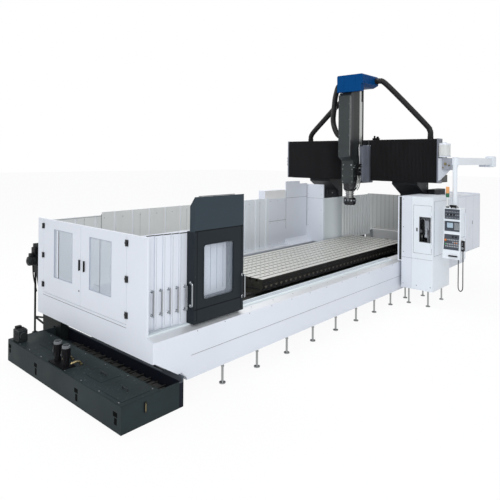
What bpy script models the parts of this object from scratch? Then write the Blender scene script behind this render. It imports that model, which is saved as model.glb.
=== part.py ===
"""Double column machining center with a travelling table and an open-topped enclosure.

Metres, +Z up. +X runs along the bed, away from the chip tank. -Y is the operator's side.
The origin is the centre of the bed's sole, on the floor.
"""
import math

import bmesh
import bpy
from mathutils import Matrix, Vector

# General clearances
TOUCH = 0.0003            # between pieces that rest on or are fixed to each other
RUN = 0.006               # between a moving piece and what it passes
SHEET = 0.03              # folded sheet-metal walls

# Bed and table
BED_LENGTH = 9.40
BED_WIDTH = 1.30
BED_HEIGHT = 0.66
BED_SOLE_WIDTH = 1.42
RAIL_WIDTH = 0.11
RAIL_HEIGHT = 0.05
RAIL_SPACING = 0.96
TABLE_LENGTH = 5.49
TABLE_WIDTH = 1.53
TABLE_TOP = 0.963
TABLE_X = 0.385           # centre of the table as it stands
SLOT_COUNT = 9
SLOT_EDGE = 0.125         # from the table's edge to the first slot
SLOT_PITCH = (TABLE_WIDTH - 2 * SLOT_EDGE) / (SLOT_COUNT - 1)
SLOT_WIDTH = 0.024
SLOT_DEPTH = 0.05

# Columns and crossbeam
COLUMN_FRONT = 2.65
COLUMN_DEPTH = 1.39       # at the foot
COLUMN_WAIST = 0.18       # depth at the top of the slope behind
COLUMN_WAIST_Z = 2.00
TABLE_PASSAGE = 0.097     # between the table and each column
COLUMN_INNER = TABLE_WIDTH / 2 + TABLE_PASSAGE
COLUMN_OUTER = COLUMN_INNER + 0.618
HEAD_REACH = 0.45         # how far the heads stand forward under the crossbeam
HEAD_HEIGHT = 0.32
HEAD_EDGE = 0.064
BEAM_BOTTOM = 2.50
BEAM_HEIGHT = 0.98
BEAM_LENGTH = 4.03
BEAM_FRONT = 2.13
BEAM_DEPTH = 1.10
BEAM_TAPER = ((0.12, 0.0), (0.32, 0.135), (1.10, 0.415))   # depth, narrowing of each side
BEAM_RAIL = 0.05          # how far the guide rails stand out
BEAM_RAIL_WIDTH = 0.09
BEAM_RAIL_INSET = 0.16    # from the beam's edges to the rail centres
BELLOWS_FRONT = 1.965
BELLOWS_THICK = 0.09
BELLOWS_CHAMFER = 0.05
COVER_THICK = 0.03
COVER_FRONT = 1.945
COVER_BACK = 2.20

# Saddle, ram and spindle
SADDLE_Y = -0.165         # centre of the saddle, ram and spindle as they stand
SADDLE_WIDTH = 0.53
SADDLE_FRONT = 1.80
SADDLE_BOTTOM = 2.46
SADDLE_HEIGHT = 0.885
RAM_WIDTH = 0.31
RAM_FRONT = 1.35
RAM_BACK = 1.70
RAM_BOTTOM = 2.445
RAM_TOP = 4.67
GUIDE_BACK = 1.81         # back of the guide behind the ram
GUIDE_TOP = 4.366
RACK_BACK = 1.86          # back of the narrow rack behind the guide
COVER_WIDTH = 0.317
RAM_COVER_FRONT = 1.20
RAM_COVER_BOTTOM = 2.98
RAM_COVER_TOP = 4.55
CAP_FRONT = 1.14
CAP_BACK = 1.865
CAP_LEFT = 0.0            # +Y end of the blue cap
CAP_RIGHT = -0.66
CAP_TOP = 4.93
CAP_SKIRT = 0.12          # depth and drop of the cap's front edge
SPINDLE_X = 1.47
HOUSING_RADIUS = 0.15
HOUSING_HEIGHT = 0.17
NOSE_RADIUS = 0.14
NOSE_HEIGHT = 0.17
NECK_RADIUS = 0.085
NECK_HEIGHT = 0.155
HOSE_RADIUS = 0.064

# Enclosure
END_X = -5.19             # outer face of the end wall at the tank
FAR_END_X = 5.22
END_BOTTOM = 0.60         # underside of the end frame
WALL_Y = 1.40             # outer faces of the side walls
WALL_TOP = 2.06
FAR_WALL_LOW = 2.01       # top of the far wall's first part
FAR_WALL_STEP = -4.09
FAR_WALL_END = 0.36
SKIRT_Y = 1.527
SKIRT_FOLD = 0.547        # the upper part of the skirt stands proud above this
SKIRT_PROUD = 0.006
SKIRT_TOP = 0.845
LEDGE_TOP = 0.88
SKIRT_BOTTOM = 0.255
SKIRT_START = -4.75       # the deep part of the skirt starts here
SKIRT_STEP = 0.37         # bottom of the shallow part over the tank
PAN_THICK = 0.03
RIB_PITCH = 0.372
RIB_DEPTH = 0.03
LEG_PITCH = 0.70
LEG_FIRST = -4.02
LEG_COUNT = 9
LEG_RADIUS = 0.017
FOOT_RADIUS = 0.045
FOOT_HEIGHT = 0.015

# Hinged end doors
DOOR_CENTRE = 0.119
DOOR_WIDTH = 1.104
DOOR_BOTTOM = 0.945
DOOR_THICK = 0.03
DOOR_GAP = 0.005
HINGE_RADIUS = 0.012
HINGE_HEIGHT = 0.078
HINGE_LEAF = 0.032
HINGE_PLAY = 0.0005       # between the knuckles and the wall behind them
END_HINGES = (1.06, 1.505, 1.95)
WINDOW_NEAR = 0.23        # window edges, from the line where the doors meet
WINDOW_FAR = 0.765
WINDOW_BOTTOM = 1.215
WINDOW_TOP = 1.925

# Telescoping panels and operator door
PANEL_COUNT = 5
PANEL_WIDTH = 0.98
PANEL_STEP = 0.111        # each panel's edge stands this far right of the last
PANEL_FIRST = -5.10
PANEL_THICK = 0.014
PANEL_PITCH = 0.021
PANEL_FACE = 1.352        # outer face of the outermost panel
GRIP_BOTTOM = 1.07
GRIP_TOP = 1.38
BED_COVER_FRONT = 5.06    # folded cover at the far end, clear of the table's travel
BED_COVER_WIDTH = 2.30
BED_COVER_TOP = 0.925
BED_COVER_FOOT = 0.60
BED_COVER_SLOPE = 0.03
TRACK_HEIGHT = 0.02
TRACK_TOP = LEDGE_TOP + TRACK_HEIGHT
TRACK_BACK = 1.225
OPERATOR_LEFT = -4.54
OPERATOR_WIDTH = 0.91
OPERATOR_FACE = 1.50
OPERATOR_TOP = 2.07
HOOD_TOP = 2.51
HOOD_BACK = 2.39
TRACK_END = 1.15
POST_WIDTH = 0.085

# Cabinets on the operator's side
CABINET_FRONT = 2.25      # outer faces of both cabinets
MAGAZINE_LEFT = 1.20
MAGAZINE_WIDTH = 0.90
MAGAZINE_BOTTOM = 0.33
MAGAZINE_TOP = 2.25
MAGAZINE_INNER = 1.58
ELECTRIC_WIDTH = 2.01
ELECTRIC_BOTTOM = 0.89
ELECTRIC_TOP = 2.19
TOOL_DOOR_BOTTOM = 1.09
TOOL_DOOR_TOP = 2.07
TOOL_DOOR_WIDTH = 0.40
TOOL_DOOR_HINGES = (1.25, 1.91)

# Console
HUB_X = 4.05
HUB_Y = -2.50
ARM_Z = 2.91              # underside of the console arm
HUB_RADIUS = 0.12
HUB_BOTTOM = 2.865
HUB_TOP = 3.10
ARM_HEIGHT = 0.15
ARM_WIDTH = 0.12
TUBE_X = 1.35
TUBE_Y = -2.62
TUBE_RADIUS = 0.044
CONSOLE_TOP = 2.06
CONSOLE_HEIGHT = 1.02
CONSOLE_WIDTH = 0.33
CONSOLE_DEPTH = 0.27
CONSOLE_LEAN = 0.06       # how far the lower front stands out at the bottom
LAMP_HEIGHT = 0.418
PENDANT_BOTTOM = 1.225
CORD_RADIUS = 0.0055

# Tank and conveyor
TANK_LEFT = -5.66
TANK_RIGHT = -4.785
TANK_NEAR = -1.60
TANK_FAR = 1.33
TANK_HEIGHT = 0.31
TROUGH_WIDTH = 0.336
TROUGH_DEPTH = 0.18
TANK_WALL = 0.02
BACK_SHEET_TOP = SKIRT_STEP - TOUCH   # the sheet behind the trough reaches the near skirt
BACK_SHEET_HORN = 0.40    # length of its raised part
PUMP_RADIUS = 0.052
PUMP_HEIGHT = 0.275
PUMP_X = -5.55
PUMP_PLACES = (0.035, -0.185)
CONVEYOR_LEFT = -4.95
CONVEYOR_RIGHT = -4.82

model = bpy.data.collections.new("double_column_machining_center")
construction = bpy.data.collections.new("construction")


def material(name, color, roughness, metallic=0.0, alpha=1.0):
    """A plain Principled material."""
    mat = bpy.data.materials.new(name)
    mat.use_nodes = True
    shader = mat.node_tree.nodes["Principled BSDF"]
    shader.inputs["Base Color"].default_value = (*color, 1.0)
    shader.inputs["Roughness"].default_value = roughness
    shader.inputs["Metallic"].default_value = metallic
    shader.inputs["Alpha"].default_value = alpha
    return mat


def add(name, mesh, mat=None):
    """Put a mesh in the model, or in the construction collection if it has no material."""
    obj = bpy.data.objects.new(name, mesh)
    if mat is None:
        construction.objects.link(obj)
        obj.hide_render = True
        obj.display_type = "WIRE"
    else:
        model.objects.link(obj)
        mesh.materials.append(mat)
    return obj


def mesh_of(name, bm):
    bmesh.ops.recalc_face_normals(bm, faces=bm.faces)
    mesh = bpy.data.meshes.new(name)
    bm.to_mesh(mesh)
    bm.free()
    return mesh


def boxes(name, corner_pairs, mat=None, bevel=0.0):
    """Separate boxes in one object, each given by its lowest and highest corners."""
    bm = bmesh.new()
    for low, high in corner_pairs:
        low, high = Vector(low), Vector(high)
        scale = Matrix.Diagonal((*(high - low), 1.0))
        place = Matrix.Translation((low + high) / 2) @ scale
        bmesh.ops.create_cube(bm, size=1.0, matrix=place)
    obj = add(name, mesh_of(name, bm), mat)
    if bevel:
        soften(obj, bevel)
    return obj


def box(name, low, high, mat=None, bevel=0.0):
    return boxes(name, [(low, high)], mat, bevel)


def soften(obj, width, segments=1):
    bevel = obj.modifiers.new("rounded edges", "BEVEL")
    bevel.width = width
    bevel.segments = segments
    bevel.limit_method = "ANGLE"


def rods(name, ends, radius, mat=None, sides=16):
    """Separate round bars in one object, each from one end point to the other."""
    bm = bmesh.new()
    for start, end in ends:
        add_rod(bm, start, end, radius, radius, sides)
    return add(name, mesh_of(name, bm), mat)


def add_rod(bm, start, end, radius, end_radius, sides):
    start, end = Vector(start), Vector(end)
    turn = Vector((0, 0, 1)).rotation_difference(end - start).to_matrix().to_4x4()
    place = Matrix.Translation((start + end) / 2) @ turn
    bmesh.ops.create_cone(bm, cap_ends=True, segments=sides, radius1=radius, radius2=end_radius,
                          depth=(end - start).length, matrix=place)


def outline_place(axis, start, end):
    """Matrix that stands an outline's own XY on the plane across the axis, midway of its depth."""
    middle = (start + end) / 2
    if axis == "X":
        columns = ((0, 1, 0), (0, 0, 1), (1, 0, 0))
        shift = Vector((middle, 0, 0))
    elif axis == "Y":
        columns = ((1, 0, 0), (0, 0, 1), (0, -1, 0))
        shift = Vector((0, middle, 0))
    else:
        columns = ((1, 0, 0), (0, 1, 0), (0, 0, 1))
        shift = Vector((0, 0, middle))
    return Matrix.Translation(shift) @ Matrix(columns).transposed().to_4x4()


def plate(name, outlines, axis, start, end, mat=None):
    """A flat outline, with any holes as further outlines, extruded along an axis.

    Outline points are (y, z) across X, (x, z) across Y and (x, y) across Z.
    """
    curve = bpy.data.curves.new(name, "CURVE")
    curve.dimensions = "2D"
    curve.fill_mode = "BOTH"
    curve.extrude = abs(end - start) / 2
    for outline in outlines:
        spline = curve.splines.new("POLY")
        spline.points.add(len(outline) - 1)
        for point, (u, v) in zip(spline.points, outline):
            point.co = (u, v, 0.0, 1.0)
        spline.use_cyclic_u = True
    guide = bpy.data.objects.new(name + "_outline", curve)
    construction.objects.link(guide)
    bpy.context.view_layer.update()
    flat = guide.evaluated_get(bpy.context.evaluated_depsgraph_get())
    bm = bmesh.new()
    bm.from_mesh(bpy.data.meshes.new_from_object(flat))
    bpy.data.objects.remove(guide)
    bmesh.ops.remove_doubles(bm, verts=bm.verts, dist=1e-5)
    bmesh.ops.transform(bm, matrix=outline_place(axis, start, end), verts=bm.verts)
    return add(name, mesh_of(name, bm), mat)


def rectangle(u0, v0, u1, v1, corner=0.0, steps=3):
    """Outline of a rectangle, with rounded corners if a corner radius is given."""
    if not corner:
        return [(u0, v0), (u1, v0), (u1, v1), (u0, v1)]
    points = []
    centres = [(u1 - corner, v0 + corner, -90), (u1 - corner, v1 - corner, 0),
               (u0 + corner, v1 - corner, 90), (u0 + corner, v0 + corner, 180)]
    for cu, cv, first in centres:
        for step in range(steps + 1):
            angle = math.radians(first + 90 * step / steps)
            points.append((cu + corner * math.cos(angle), cv + corner * math.sin(angle)))
    return points


def turned(name, profile, centre, mat, sides=32):
    """A turned solid about a vertical axis; the profile is (radius, z) from top to bottom."""
    mesh = bpy.data.meshes.new(name)
    mesh.from_pydata([(radius, 0, z) for radius, z in profile],
                     [(i, i + 1) for i in range(len(profile) - 1)], [])
    obj = add(name, mesh, mat)
    obj.location = centre
    screw = obj.modifiers.new("turned", "SCREW")
    screw.steps = screw.render_steps = sides
    screw.use_merge_vertices = True
    screw.merge_threshold = 1e-5
    return obj


def add_turned(bm, profile, centre, sides):
    """The same kind of turned solid as one more body in a mesh."""
    ring = [bm.verts.new((centre[0] + radius, centre[1], z)) for radius, z in profile]
    edges = [bm.edges.new(pair) for pair in zip(ring, ring[1:])]
    bmesh.ops.spin(bm, geom=ring + edges, cent=(*centre, 0.0), axis=(0, 0, 1),
                   angle=2 * math.pi, steps=sides, use_merge=True)
    bmesh.ops.remove_doubles(bm, verts=bm.verts, dist=1e-6)


def smooth_path(points, steps):
    """Points on a smooth curve through the given points."""
    points = [Vector(p) for p in points]
    ends = [2 * points[0] - points[1]] + points + [2 * points[-1] - points[-2]]
    path = []
    for i in range(len(points) - 1):
        a, b, c, d = ends[i:i + 4]
        for step in range(steps):
            t = step / steps
            path.append(0.5 * (2 * b + (c - a) * t + (2 * a - 5 * b + 4 * c - d) * t * t
                               + (3 * b - a - 3 * c + d) * t ** 3))
    path.append(points[-1])
    return path


def hose(name, points, radius, mat, steps=4, resolution=2):
    """A round hose or cord along a smooth route."""
    curve = bpy.data.curves.new(name, "CURVE")
    curve.dimensions = "3D"
    curve.bevel_depth = radius
    curve.bevel_resolution = resolution
    curve.use_fill_caps = True
    route = smooth_path(points, steps)
    spline = curve.splines.new("POLY")
    spline.points.add(len(route) - 1)
    for point, place in zip(spline.points, route):
        point.co = (*place, 1.0)
    curve.materials.append(mat)
    obj = bpy.data.objects.new(name, curve)
    model.objects.link(obj)
    return obj


def boolean(obj, other, operation):
    step = obj.modifiers.new(other.name, "BOOLEAN")
    step.operation = operation
    step.solver = "EXACT"
    step.object = other


def cut(obj, *others):
    for other in others:
        boolean(obj, other, "DIFFERENCE")


def fuse(obj, *others):
    for other in others:
        boolean(obj, other, "UNION")


def mirrored(outline):
    """The same outline on the other side of the machine's middle."""
    return [(-u, v) for u, v in outline]


def bed_pieces(cast):
    """Bed casting with its two guideways, and nothing on the sole but the floor."""
    half, sole = BED_WIDTH / 2, BED_SOLE_WIDTH / 2
    foot = 0.12
    right = [(sole, 0.0), (sole, foot), (half, foot + 0.05), (half, BED_HEIGHT)]
    for side in (1, -1):
        middle = side * RAIL_SPACING / 2
        rail = [(middle + RAIL_WIDTH / 2, BED_HEIGHT),
                (middle + RAIL_WIDTH / 2, BED_HEIGHT + RAIL_HEIGHT),
                (middle - RAIL_WIDTH / 2, BED_HEIGHT + RAIL_HEIGHT),
                (middle - RAIL_WIDTH / 2, BED_HEIGHT)]
        right += rail
    left = [(-u, v) for u, v in reversed(right[:4])]
    plate("bed", [right + left], "X", -BED_LENGTH / 2, BED_LENGTH / 2, cast)


def table_pieces(cast):
    """Table whose section carries the T-slots, riding on the bed's guideways."""
    half = TABLE_WIDTH / 2
    bottom = BED_HEIGHT + RAIL_HEIGHT + TOUCH
    top = TABLE_TOP
    lip = 0.02
    outline = [(-half, bottom + 0.06), (-half + 0.12, bottom), (half - 0.12, bottom),
               (half, bottom + 0.06), (half, top)]
    first = (SLOT_COUNT - 1) / 2 * SLOT_PITCH
    for index in range(SLOT_COUNT):
        middle = first - index * SLOT_PITCH
        mouth, wide = SLOT_WIDTH / 2, SLOT_WIDTH
        outline += [(middle + mouth, top), (middle + mouth, top - lip), (middle + wide, top - lip),
                    (middle + wide, top - SLOT_DEPTH), (middle - wide, top - SLOT_DEPTH),
                    (middle - wide, top - lip), (middle - mouth, top - lip), (middle - mouth, top)]
    outline.append((-half, top))
    plate("table", [outline], "X", TABLE_X - TABLE_LENGTH / 2, TABLE_X + TABLE_LENGTH / 2, cast)


def column_pieces(cast):
    """Two columns that slope back to a wide foot, with heads that reach forward under the beam."""
    top = BEAM_BOTTOM - TOUCH
    waist = COLUMN_FRONT + COLUMN_WAIST
    head = COLUMN_FRONT - HEAD_REACH
    outline = [(COLUMN_FRONT, 0.0), (COLUMN_FRONT + COLUMN_DEPTH, 0.0),
               (COLUMN_FRONT + COLUMN_DEPTH, COLUMN_WAIST_Z / 2), (waist, COLUMN_WAIST_Z),
               (waist, top), (head, top), (head, top - HEAD_EDGE), (COLUMN_FRONT, top - HEAD_HEIGHT)]
    plate("column_far", [outline], "Y", COLUMN_INNER, COLUMN_OUTER, cast)
    plate("column_near", [outline], "Y", -COLUMN_OUTER, -COLUMN_INNER, cast)


def beam_pieces(cast, cover):
    """Crossbeam that narrows towards the back, with guide rails in front, and its end covers."""
    half, top = BEAM_LENGTH / 2, BEAM_BOTTOM + BEAM_HEIGHT
    side = [(BEAM_FRONT, half)] + [(BEAM_FRONT + depth, half - narrow) for depth, narrow in BEAM_TAPER]
    outline = side + [(x, -y) for x, y in reversed(side)]
    beam = plate("crossbeam", [outline], "Z", BEAM_BOTTOM, top, cast)
    for z in (BEAM_BOTTOM + BEAM_RAIL_INSET, top - BEAM_RAIL_INSET):
        rail = box("beam_rail_%.2f" % z, (BEAM_FRONT - BEAM_RAIL, -half, z - BEAM_RAIL_WIDTH / 2),
                   (BEAM_FRONT + 0.02, half, z + BEAM_RAIL_WIDTH / 2))
        fuse(beam, rail)
    for name, side in (("beam_cover_near", -1), ("beam_cover_far", 1)):
        low, high = sorted((side * (half + TOUCH), side * (half + COVER_THICK)))
        box(name, (COVER_FRONT, low, BEAM_BOTTOM + 0.01), (COVER_BACK, high, top), cover, 0.006)


def bellows_pieces(rubber):
    """Pleated guards that close the crossbeam's front beside the saddle."""
    half, top = BEAM_LENGTH / 2, BEAM_BOTTOM + BEAM_HEIGHT
    back, low = BELLOWS_FRONT + BELLOWS_THICK, BEAM_BOTTOM + 0.01
    outline = [(BELLOWS_FRONT, low), (back, low), (back, top), (BELLOWS_FRONT + BELLOWS_CHAMFER, top),
               (BELLOWS_FRONT, top - BELLOWS_CHAMFER)]
    saddle = SADDLE_WIDTH / 2
    plate("bellows_far", [outline], "Y", SADDLE_Y + saddle + TOUCH, half, rubber)
    plate("bellows_near", [outline], "Y", -half, SADDLE_Y - saddle - TOUCH, rubber)


def saddle_pieces(paint):
    """Saddle that slides along the crossbeam, with the channel that guides the ram."""
    half = SADDLE_WIDTH / 2
    low, high = SADDLE_Y - half, SADDLE_Y + half
    back = BEAM_FRONT - BEAM_RAIL - TOUCH
    top = SADDLE_BOTTOM + SADDLE_HEIGHT
    saddle = box("saddle", (SADDLE_FRONT, low, SADDLE_BOTTOM), (back, high, top), paint, 0.008)
    side = RAM_WIDTH / 2 + RUN
    channel = box("ram_channel", (SADDLE_FRONT - 0.1, SADDLE_Y - side, SADDLE_BOTTOM - 0.1),
                  (RACK_BACK + TOUCH, SADDLE_Y + side, top + 0.1))
    cut(saddle, channel)


def ram_pieces(paint, dark, blue, hose_black, steel):
    """Ram with its cover, cap and hose, which slide down in front of the saddle."""
    half = RAM_WIDTH / 2
    left, right = SADDLE_Y + half, SADDLE_Y - half
    ram = box("ram", (RAM_FRONT, right, RAM_BOTTOM), (RAM_BACK, left, RAM_TOP - TOUCH), paint)
    guide = box("ram_guide", (RAM_BACK - 0.02, right + 0.01, RAM_BOTTOM + 0.15),
                (GUIDE_BACK, left - 0.01, GUIDE_TOP))
    rack = box("ram_rack", (GUIDE_BACK - 0.01, right + 0.03, RAM_BOTTOM + 0.15),
               (RACK_BACK, right + 0.08, RAM_TOP - TOUCH))
    fuse(ram, guide, rack)
    half = COVER_WIDTH / 2
    left, right = SADDLE_Y + half, SADDLE_Y - half
    back, top = RAM_FRONT - TOUCH, RAM_COVER_TOP - TOUCH
    outline = [(RAM_COVER_FRONT, RAM_COVER_BOTTOM + 0.09), (back, RAM_COVER_BOTTOM), (back, top),
               (RAM_COVER_FRONT + 0.07, top), (RAM_COVER_FRONT, top - 0.075)]
    plate("ram_cover", [outline], "Y", right, left, paint)
    outline = [(CAP_RIGHT, RAM_TOP + 0.055), (CAP_RIGHT + 0.12, RAM_TOP), (CAP_LEFT, RAM_TOP),
               (CAP_LEFT, CAP_TOP - 0.02), (CAP_LEFT - 0.02, CAP_TOP), (CAP_RIGHT + 0.02, CAP_TOP),
               (CAP_RIGHT, CAP_TOP - 0.02)]
    cap = plate("ram_cap", [outline], "X", CAP_FRONT, CAP_BACK, blue)
    skirt = box("cap_skirt", (CAP_FRONT, CAP_RIGHT + 0.04, RAM_TOP - CAP_SKIRT),
                (CAP_FRONT + CAP_SKIRT, CAP_LEFT, RAM_TOP + 0.06))
    fuse(cap, skirt)
    housing_top = RAM_BOTTOM - TOUCH
    housing = housing_top - HOUSING_HEIGHT
    turned("spindle_housing", [(0, housing_top), (HOUSING_RADIUS, housing_top),
                               (HOUSING_RADIUS, housing + 0.05), (HOUSING_RADIUS - 0.03, housing),
                               (0, housing)], (SPINDLE_X, SADDLE_Y, 0), dark)
    neck = housing - TOUCH
    nose = neck - NECK_HEIGHT
    turned("spindle", [(0, neck), (NECK_RADIUS, neck), (NECK_RADIUS, nose),
                       (NOSE_RADIUS - 0.02, nose), (NOSE_RADIUS, nose - 0.03),
                       (NOSE_RADIUS, nose - NOSE_HEIGHT + 0.04),
                       (NOSE_RADIUS - 0.04, nose - NOSE_HEIGHT), (0, nose - NOSE_HEIGHT)],
           (SPINDLE_X, SADDLE_Y, 0), steel)
    x, start, end = 1.48, CAP_LEFT + TOUCH, SADDLE_Y + RAM_WIDTH / 2 + TOUCH
    route = [(x, start, 4.80), (x, start + 0.04, 4.80), (x, start + 0.08, 4.80), (x, 0.18, 4.73),
             (x, 0.235, 4.58), (x, 0.269, 4.43), (x, 0.294, 4.19), (x, 0.315, 3.95),
             (x, 0.27, 3.75), (x, 0.17, 3.585), (x, end + 0.08, 3.55), (x, end + 0.04, 3.55),
             (x, end, 3.55)]
    hose("hose_ram", route, HOSE_RADIUS, hose_black)


def beam_hoses(hose_black):
    """Hoses that run from the ram to the two ends of the crossbeam."""
    top = BEAM_BOTTOM + BEAM_HEIGHT + TOUCH
    x, start = 1.60, SADDLE_Y + RAM_WIDTH / 2 + TOUCH
    route = [(x, start, 4.40), (x, start + 0.04, 4.40), (x, start + 0.08, 4.40), (1.66, 0.28, 4.34),
             (1.95, 0.92, 3.97), (2.13, 1.33, 3.72), (2.20, 1.455, 3.62), (2.22, 1.48, 3.56),
             (2.22, 1.48, 3.52), (2.22, 1.48, top)]
    hose("hose_far", route, HOSE_RADIUS, hose_black)
    x, start = 1.76, CAP_RIGHT - TOUCH
    route = [(x, start, 4.82), (x, start - 0.04, 4.82), (x, start - 0.08, 4.82), (1.85, -0.90, 4.72),
             (2.24, -1.62, 3.84), (2.29, -1.72, 3.68), (2.30, -1.733, 3.60), (2.30, -1.733, 3.55),
             (2.30, -1.733, top)]
    hose("hose_near", route, HOSE_RADIUS, hose_black)


def lubrication_unit(white):
    """Tank, valve box and bracket that hang beside the crossbeam's near end."""
    face = -BEAM_LENGTH / 2 - COVER_THICK - TOUCH
    x, y = 1.976, face - 0.13
    unit = turned("lubrication_unit", [(0, 3.363), (0.10, 3.363), (0.119, 3.34), (0.119, 3.11),
                                       (0.10, 3.086), (0.05, 3.086), (0.05, 3.04), (0, 3.04)],
                  (x, y, 0), white)
    valve_box = box("lubrication_box", (x - 0.06, y - 0.16, 2.80), (x + 0.06, y + 0.03, 3.055))
    outline = [(y + 0.02, 3.05), (face, 3.05), (face, BEAM_BOTTOM + 0.065),
               (face - 0.025, BEAM_BOTTOM + 0.065), (y - 0.13, 2.81), (y + 0.02, 2.81)]
    bracket = plate("lubrication_bracket", [outline], "X", x - 0.02, x + 0.02)
    fuse(unit, valve_box, bracket)


def arm_bracket(cast):
    """Bracket from the crossbeam's near side to the foot of the console arm's hub."""
    (front, near), (_, far) = BEAM_TAPER[1:]
    slope = (far - near) / (BEAM_TAPER[2][0] - front)
    first, last = 2.61, 2.89
    half = BEAM_LENGTH / 2 + 2 * TOUCH
    edges = [half - near - slope * (x - BEAM_FRONT - front) for x in (first, last)]
    outline = [(first, -1.90), (last, -1.90), (last, -edges[1]), (first, -edges[0])]
    bracket = plate("arm_bracket", [outline], "Z", BEAM_BOTTOM + 0.001, BEAM_BOTTOM + 0.17, cast)
    low, high = ARM_Z + 0.01, ARM_Z + 0.12
    rail_y = HUB_Y + 0.25
    post = box("bracket_post", (2.71, -1.90, BEAM_BOTTOM + 0.16), (2.79, -1.84, high))
    reach = box("bracket_reach", (2.71, rail_y - 0.04, low), (2.79, -1.85, high))
    rail = box("bracket_rail", (2.71, rail_y - 0.04, low), (HUB_X + 0.05, rail_y + 0.04, high))
    seat = HUB_BOTTOM - TOUCH
    web_y = HUB_Y + HUB_RADIUS + RUN
    web = box("bracket_web", (HUB_X - 0.05, web_y, seat - 0.012), (HUB_X + 0.05, rail_y, high - 0.001))
    shelf = box("bracket_shelf", (HUB_X - 0.06, HUB_Y - 0.06, seat - 0.013),
                (HUB_X + 0.06, web_y + 0.01, seat))
    fuse(bracket, post, reach, rail, web, shelf)


def hinge_leaf(name, axis, z_ranges, side):
    """Knuckles about a vertical hinge axis, with leaves that reach the wall at +X beside it.

    The leaves lie towards +Y for side 1 and towards -Y for side -1.
    """
    x, y = axis
    wall = x + HINGE_RADIUS + HINGE_PLAY
    bm = bmesh.new()
    for low, high in z_ranges:
        add_rod(bm, (x, y, low), (x, y, high), HINGE_RADIUS, HINGE_RADIUS, 16)
    knuckles = add(name + "_knuckles", mesh_of(name, bm))
    near, far = sorted((y, y + side * HINGE_LEAF))
    root_low, root_high = sorted((y + side * 0.006, y + side * HINGE_LEAF))
    leaves = boxes(name + "_leaves", [((x, near, low), (wall - 0.004, far, high))
                                      for low, high in z_ranges])
    roots = boxes(name + "_roots", [((x + 0.004, root_low, low), (wall + 0.004, root_high, high))
                                    for low, high in z_ranges])
    return knuckles, leaves, roots


def hinge_ranges(heights):
    """Heights of the fixed and of the moving knuckles of three-part hinges."""
    third = HINGE_HEIGHT / 3
    fixed, moving = [], []
    for z in heights:
        low = z - HINGE_HEIGHT / 2
        fixed += [(low, low + third), (low + 2 * third, low + 3 * third)]
        moving.append((low + third + TOUCH, low + 2 * third - TOUCH))
    return fixed, moving


def end_wall(white, glass, black):
    """End frame towards the tank, its two hinged doors and their windows."""
    inner = END_X + DOOR_THICK
    left, right = DOOR_CENTRE + DOOR_WIDTH, DOOR_CENTRE - DOOR_WIDTH
    outline = [(-SKIRT_Y, END_BOTTOM), (WALL_Y, END_BOTTOM), (WALL_Y, WALL_TOP),
               (left, WALL_TOP), (left, DOOR_BOTTOM - DOOR_GAP), (right, DOOR_BOTTOM - DOOR_GAP),
               (right, WALL_TOP), (-WALL_Y, WALL_TOP), (-WALL_Y, LEDGE_TOP), (-SKIRT_Y, SKIRT_TOP)]
    frame = plate("end_frame", [outline], "X", END_X, inner, white)
    sides = {"far": 1, "near": -1}
    fixed, moving = hinge_ranges(END_HINGES)
    for name, side in sides.items():
        meet = DOOR_CENTRE + side * DOOR_GAP / 2
        edge = DOOR_CENTRE + side * (DOOR_WIDTH - DOOR_GAP)
        window = (DOOR_CENTRE + side * WINDOW_NEAR, DOOR_CENTRE + side * WINDOW_FAR)
        hole = rectangle(min(window), WINDOW_BOTTOM, max(window), WINDOW_TOP)
        outline = rectangle(min(meet, edge), DOOR_BOTTOM, max(meet, edge), WALL_TOP)
        door = plate("end_door_" + name, [outline, hole], "X", END_X, inner, white)
        pane = rectangle(min(window) + TOUCH, WINDOW_BOTTOM + TOUCH, max(window) - TOUCH,
                         WINDOW_TOP - TOUCH)
        plate("end_window_" + name, [pane], "X", END_X + 0.010, END_X + 0.018, glass)
        axis = (END_X - HINGE_RADIUS - HINGE_PLAY, DOOR_CENTRE + side * DOOR_WIDTH)
        fuse(frame, *hinge_leaf("end_hinge_fixed_" + name, axis, fixed, side))
        fuse(door, *hinge_leaf("end_hinge_moving_" + name, axis, moving, -side))


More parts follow.
